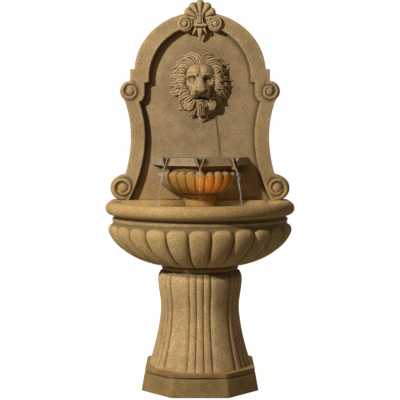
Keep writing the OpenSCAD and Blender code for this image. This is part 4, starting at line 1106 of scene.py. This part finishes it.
def faceOut(x, z):
    # how far the face stands out of the panel at a place beside and above the mask's middle
    x -= lion["muzzleTurn"] * ease((24 - z) / 40)
    ax = abs(x)
    brow = lion["browOut"]
    out = brow - 2 - 20 * (x / 50) ** 2 - 16 * ease((z - 46) / 34) - 12 * ease((24 - z) / 50)
    # two bulges of the forehead with a furrow between
    out += 5 * bump(ax, z, 19, 54, 13, 15)
    out -= 3.5 * bump(x, z, 0, 44, 3.4, 14) + 2 * bump(x, z, 0, 36, 3, 6)
    # brows: high at the nose and sinking outwards
    browLine = 36 - 0.011 * (ax - 23) ** 2
    along = ease((ax - 2) / 9) * ease((50 - ax) / 14)
    out += 9 * along * exp(-((z - browLine) / 7) ** 2)
    out += 5 * bump(ax, z, 9, 36, 6, 7)
    # eye sockets, eyes and lids
    eyeZ = 20.5 - 0.04 * (ax - 28)
    out -= 17 * exp(-abs((ax - 27) / 12) ** 2.6 - abs((z - eyeZ - 1) / 10) ** 2.6)
    out -= 9 * bump(ax, z, 16.5, 23, 4.5, 7)
    out += 10 * bump(ax, z, 27, eyeZ - 1, 7, 6)
    arch = 5.6 - 0.06 * (ax - 27.5) ** 2
    lids = exp(-((ax - 27.5) / 9.5) ** 4)
    out += 4 * lids * exp(-((z - eyeZ - arch) / 2.6) ** 2)
    out += 1.6 * lids * exp(-((z - eyeZ + arch * 0.9) / 2) ** 2)
    # cheeks
    out += 11 * bump(ax, z, 38, 5, 13, 12)
    # bridge of the nose, wider and further out towards the tip
    u = ease((44 - z) / 62)
    bridge = blendOf(brow, lion["noseOut"], u)
    half = blendOf(9.5, 26, u ** 1.3)
    out += (bridge - out) * exp(-(ax / half) ** 3) * ease((z + 33) / 12) * ease((50 - z) / 12)
    # muzzle
    wide = 35 - 4 * ease((z + 14) / 22)
    muzzle = exp(-(ax / wide) ** 5) * exp(-(abs(z + 18) / 21) ** 4)
    out += max(0, lion["muzzleOut"] - out) * muzzle
    out += 8 * bump(ax, z, 20, -26, 13, 9)
    out -= 5 * bump(x, z, 0, -33, 2.2, 5)
    # nose pad and nostrils
    pad = exp(-(ax / (20 - 9 * ease((-14 - z) / 14))) ** 6) * exp(-(abs(z + 18) / 9) ** 6)
    out += 5.5 * pad
    out -= 13 * bump(ax, z, 12, -22, 4.6, 3.6) + 6 * bump(ax, z, 17.5, -19, 4, 3)
    # folds beside the muzzle
    fold = 33 + 0.2 * (-4 - z)
    out -= 4 * exp(-((ax - fold) / 3.4) ** 2) * ease((2 - z) / 8) * ease((z + 30) / 8)
    # mouth, the spout's opening and the chin
    lipZ = -39 - 0.006 * ax * ax
    out -= 20 * exp(-(ax / 19) ** 6 - ((z - lipZ) / 5) ** 4)
    out -= 8 * exp(-(ax / 28) ** 6 - ((z - lipZ) / 2) ** 2)
    out -= 26 * exp(-(hypot(x + lion["muzzleTurn"], z - mouthZ + maskZ) / 5) ** 6)
    return out + 9 * exp(-(ax / 16) ** 2.5 - (abs(z + 54) / 8) ** 2.5)


def maskOut(a, s):
    # face and mane's ground together, at a turn and a share of the way to the mask's edge
    r = s * maneReach(a)
    x, z = r * sin(a), r * cos(a)
    ground = 6 + 33 * max(0, 1 - s * s) ** 0.85
    return blendOf(faceOut(x, z), ground, ease((faceShare(x, z) - 0.86) / 0.2))


def maskRing(share, out=None):
    # the head stops short of the mask's edge, which the strands alone make
    share *= lion["headShare"]
    ring = []
    for a in (2 * pi * i / 240 for i in range(240)):
        r = share * maneReach(a)
        depth = maskOut(a, share) if out is None else out
        ring.append((r * sin(a), panelY - depth, maskZ + r * cos(a)))
    return ring


rings = [[(0, panelY - faceOut(0, 0), maskZ)]] + [maskRing(s) for s in shares(100)[1:]]
rings += [maskRing(1, 3), maskRing(1, 0), maskRing(0.5, 0), [(0, panelY, maskZ)]]
head = skin("head", rings)

random.seed(7)
wild = random.uniform


def lock(x, z, side, start, sag, flick, length, lift, width=1.0, count=None):
    # a bundle of strands over a thicker core: it leaves its root start degrees off the outward
    # line, sags by sag, and its tip turns back by flick
    count = count or lion["strandsPerLock"]
    steps = 15
    waves, phase = wild(9, 17) * length / 60, wild(0, 6)
    spine = []
    for s in shares(steps):
        here = atan2(x, z)
        turn = start + sag * ease(s * 1.3) - flick * max(0, s - 0.5) ** 1.3 * 2.4
        turn += waves * s * sin(phase + 0.16 * s * length)
        heading = here + side * radians(turn)
        r = hypot(x, z) / maneReach(here)
        base = maskOut(here, min(r, 1)) if r < 0.985 else 4
        height = max(base, 4) + lift * sin(pi * min(1, 0.08 + 0.9 * s))
        height = blendOf(height, 3.5, ease((r - 0.8) / 0.2) * ease((s - 0.4) / 0.6))
        spine.append((x, z, heading, height))
        x += length / steps * sin(heading)
        z += length / steps * cos(heading)
    pitch = lion["strand"] * 2.6 * width
    lines = []
    for k in [k - (count - 1) / 2 for k in range(count)] + [None]:
        line = []
        full, deep, short = wild(0.78, 1.15), wild(-1.3, 1), wild(0, 0.25)
        for s, (sx, sz, heading, out) in zip(shares(steps), spine):
            spread = blendOf(0.7, 1, ease(s / 0.35)) * (1 - 0.9 * ease((s - 0.35) / 0.65))
            if k is None:
                # the core that the strands lie on
                thick = max(pitch * count / 2 * spread * 0.85, 0.8)
                line.append((sx, panelY - out + thick + 2.6, maskZ + sz, thick))
                continue
            sway = k * pitch * spread
            thick = lion["strand"] * full * (0.8 + 0.2 * ease(s / 0.3))
            thick *= 1 - (0.7 + short) * ease((s - 0.5) / 0.5)
            crown = 2.6 * width * (1 - (2 * k / count) ** 2) + deep - 3 * (1 - ease(s / 0.2))
            line.append((sx + sway * cos(heading), panelY - out - crown + 0.8,
                         maskZ + sz - sway * sin(heading), thick))
        lines.append(line)
    return lines


def rootAt(turn, share):
    a = radians(turn)
    return share * maneReach(a) * sin(a), share * maneReach(a) * cos(a)


def faceEdge(turn, grow=1.0):
    # where a line from the middle of the face crosses its edge
    a = radians(turn)
    r = 20
    while faceShare(r * sin(a), lion["faceMiddle"] + r * cos(a)) < grow:
        r += 0.5
    return r * sin(a), lion["faceMiddle"] + r * cos(a)


def beardCurl(side, x=35, z=-63, radius=18, out=31):
    lines = [[(side * x, panelY - 19, maskZ + z + 0.1 * i, 13) for i in range(6)]]
    for ring in range(3):
        line = []
        for s in shares(29):
            a = side * radians(40 + 396 * s)
            q = (radius - 6.6 * ring) * (1 - 0.6 * s)
            line.append((side * x + q * sin(a), panelY - out - 1.5 * ring - 2 * s,
                         maskZ + z + q * cos(a), lion["strand"] * (1.2 - 0.4 * s)))
        lines.append(line)
    return lines


maneRows = (
    # locks, first turn and pitch, root's share, length and its play, lift, then the start, sag
    # and flick above a turn, that turn, and the same below it
    (10, 42, 13.6, 0.66, 46, 6, 3, (-5, 50, 115), 130, (-15, 38, 90)),
    (7, 60, 17, 0.5, 44, 5, 8, (-14, 55, 125), 125, (-22, 50, 110)),
)
strands = []
for side in (-1, 1):
    for count, first, pitch, share, length, play, lift, high, change, low in maneRows:
        for k in range(count):
            turn = first + pitch * k
            start, sag, flick = low if turn > change else high
            strands += lock(*rootAt(side * (turn + wild(-3, 3)), share), side,
                            start + wild(-10, 10), sag + wild(-12, 12), flick + wild(-30, 30),
                            length + wild(-play, play), lift)
    # beside the face, down to the chin
    for k in range(8):
        turn = 60 + 14.2 * k
        strands += lock(*faceEdge(side * (turn + wild(-2, 2)), 1.02), side, -12 + wild(-10, 10),
                        52 + wild(-12, 12), 120 + wild(-30, 30), 34 + wild(-4, 4),
                        9 - 6 * ease((turn - 90) / 30), 0.9, 2)
    # from the parting, up and over to the sides
    for k in range(6):
        strands += lock(*faceEdge(side * (3 + 10 * k), 0.98), side, 10 + 7 * k + wild(-5, 5),
                        100 - 9 * k, 80 + 10 * k + wild(-15, 15), 92 - 7 * k + wild(-8, 8),
                        6 + wild(-3, 3), 0.95)
    strands += beardCurl(side)
    strands += lock(side * 17, -72, side, -8, 25, 90, 42, 5, 0.85, 2)
for side, grow, length in ((1, 0.98, 46), (-1, 1.15, 40)):
    strands += lock(*faceEdge(0, grow), side, 12, 50, 50, length, 5, 0.9, 2)
for k in (-1, 0, 1):
    # middle lock of the beard
    strands.append([(k * 7.5 * (1 - 0.8 * s ** 1.5) + 2.5 * sin(5 * s),
                     panelY - blendOf(56, 14, s ** 1.3) - (2 - abs(k)), maskZ - 55 - 58 * s,
                     lion["strand"] * (1.2 - 0.7 * s ** 2))
                    for s in shares(11)])
mask = joined("lionCarving", [head, sweep("maneStrands", strands, sides=1)])
recast(mask, lion["voxel"], 1, 0.35)
cutFlat(mask, (0, panelY - 0.1, 0), (0, 1, 0))
paintWash(mask, reach=(2, 6, 18), full=0.7)
washAndShade, worn = layer(mask, "hollow"), layer(mask, "ridge")
for i, x, _, z in spots(mask):
    z -= maskZ
    inFace = ease((0.96 - faceShare(x, z)) / 0.1)
    underNose = exp(-(x / 24) ** 4 - ((z + 24) / 11) ** 4)
    inMouth = exp(-(x / 20) ** 4 - ((z + 44) / 8) ** 4)
    farSide = ease((x - 12) / 16) * exp(-((z + 20) / 18) ** 4)
    noseSide = exp(-((x - 17 - 0.2 * (20 - z)) / 7) ** 2 - ((z - 10) / 18) ** 4)
    # less wash on the face; painted shade under the nose, down the far side of the nose and the
    # muzzle, and in the mouth, with no wear there
    washAndShade[i].value *= 1 - 0.35 * inFace
    washAndShade[i].value += inFace * (0.55 * underNose + 0.5 * farSide + 0.45 * noseSide)
    washAndShade[i].value += 0.45 * inMouth
    worn[i].value *= 1 - inFace * min(1, underNose + farSide + noseSide)
place(mask, "carvedStone", "carved_stone", "lion_mask", angle=180)
print("lion made", len(mask.data.polygons))


# Water: still water in the pool and the bowl, and the falling streams with their drops

poolZ, bowlZ, poolMiddleY = 588, 736, 60
rings = [[(0, poolMiddleY, poolZ - 8)]]
for share, z in ((0.5, -8), (1, -8), (1, 0), (0.85, 0), (0.7, 0), (0.55, 0), (0.4, 0), (0.2, 0)):
    ring = []
    for turn in rimTurns:
        x, y, _ = edgePoint(turn, -0.4, 0)
        wave = 0.5 * sin(0.09 * x * share) * cos(0.11 * y) if z == 0 and share < 1 else 0
        ring.append((x * share, poolMiddleY + (y - poolMiddleY) * share, poolZ + z + wave))
    rings.append(ring)
poolWater = skin("poolWater", rings + [[(0, poolMiddleY, poolZ)]])
combine(poolWater, rod("saddleHole", (0, panelY, 500), basin["saddleRadius"] + 0.4, 200, 96))
place(poolWater, "water", angle=30)

bowlWater = upright("bowlWater", bandOutline(inner - 0.8, wallIn - 1), bowlZ - 8, bowlZ)
place(bowlWater, "water", angle=30)

pours = (
    # turn of the spout, start, landing, drops at each step, the part of the fall that has
    # them, and the splashes where it lands; few stand in the light under the bowl
    (None, (0, 82, 940), (0, 52, bowlZ), 2, (0.45, 2), 22),
    (-45, (-118, 16, 712), (-135, -3, poolZ), 3, (0.05, 2), 22),
    (0, (0, -32, 712), (0, -47, poolZ), 1, (0.05, 0.7), 0),
    (45, (118, 16, 712), (136, -3, poolZ), 3, (0.05, 2), 22),
)
sheet = ((143, 736.5), (149, 737.5), (153, 730), (158, 722), (163, 718))  # over the weir
random.seed(3)
streams, drops = [], []
for turn, start, end, broken, breaks, splashes in pours:
    line = []
    if turn is not None:
        line = [(*turned(r, turn, z, panelY), 1.9) for r, z in sheet]
    for t in shares(28):
        x, y = (blendOf(a, b, t) for a, b in zip(start[:2], end[:2]))
        z = start[2] - (start[2] - end[2]) * (0.35 * t + 0.65 * t * t)
        shake = 0.3 + 1.2 * t
        thick = blendOf(1.8, 0.8, t) * wild(0.7, 1.25)
        line.append((x + wild(-shake, shake) * 0.6, y, z, thick))
        if breaks[0] < t < breaks[1]:
            for _ in range(broken):
                drops.append((x + random.gauss(0, 0.9 + 1.3 * t), y + random.gauss(0, 1.6),
                              z + wild(-4, 4), wild(0.8, 1.7)))
    streams.append(line)
    for _ in range(splashes):
        a, r = wild(0, 2 * pi), wild(1, 13)
        drops.append((end[0] + r * cos(a), end[1] + r * sin(a),
                      end[2] + 1 + random.expovariate(0.25), wild(0.5, 1.4)))
place(sweep("fallingWater", streams), "water", angle=180)
spray = []
for x, y, z, r in drops:
    deselect()
    bpy.ops.mesh.primitive_ico_sphere_add(subdivisions=2, radius=r * mm,
                                          location=(x * mm, y * mm, z * mm))
    spray.append(bpy.context.active_object)
place(settle(joined("waterDrops", spray)), "froth", angle=180)
print("water made")


# Stage and light

def directly(t):
    # 1 for rays from the camera, off gloss or through glass
    rays = t.add("ShaderNodeLightPath").outputs
    seen = t.math("MAXIMUM", rays["Is Camera Ray"], rays["Is Glossy Ray"])
    return t.math("MAXIMUM", seen, rays["Is Transmission Ray"])


deselect()
bpy.ops.mesh.primitive_plane_add(size=40, location=(0, 0, -0.0005))
floor = settle(named("floor"))
paint = newMaterial("floorPaint", Base_Color=rgb(0.24, 0.22, 0.18), Roughness=0.9,
                    Emission_Color=rgb(1, 1, 1))
paint.shade(Emission_Strength=paint.math("MULTIPLY", directly(paint), 0.92))
dress(floor, "floorPaint")

world = bpy.data.worlds.new("studio")
bpy.context.scene.world = world
world.use_nodes = True
sky = NodeTree(world.node_tree)
seen = directly(sky)
sky.fill(world.node_tree.nodes["Background"], {
    "Color": sky.mix(seen, rgb(1, 0.84, 0.58), rgb(1, 1, 1)),
    "Strength": sky.math("MULTIPLY_ADD", seen, 0.94, 0.06),
})


def areaLight(place, target, power, size, shape="SQUARE", spread=180, color=(1, 1, 1), seen=False):
    deselect()
    direction = Vector(place) - Vector(target)
    bpy.ops.object.light_add(type="AREA", location=place,
                             rotation=direction.to_track_quat("Z", "Y").to_euler())
    light = bpy.context.active_object
    light.data.energy = power
    light.data.size = size
    light.data.shape = shape
    light.data.spread = radians(spread)
    light.data.color = color
    light.visible_camera = light.visible_glossy = light.visible_transmission = seen


# the sun at the upper left, a soft light for the back, and the lamp's shine under the bowl
key = {"place": (-1.3, -1.38, 1.74), "target": (0, 0, 0.75), "power": 45, "size": 0.1,
       "shape": "DISK", "seen": True}
behind = {"place": (0, 2.3, 0.95), "target": (0, 0.2, 0.65), "power": 22, "size": 0.8}
underBowl = {"place": (0.03, -0.05, 0.595), "target": (0.02, 0.02, 0.68), "power": 0.085,
             "color": (1.0, 0.46, 0.05), "size": 0.1, "spread": 130}
for light in (key, behind, underBowl):
    areaLight(**light)

bpy.context.scene.view_settings.view_transform = "Standard"
print("stage and light set")
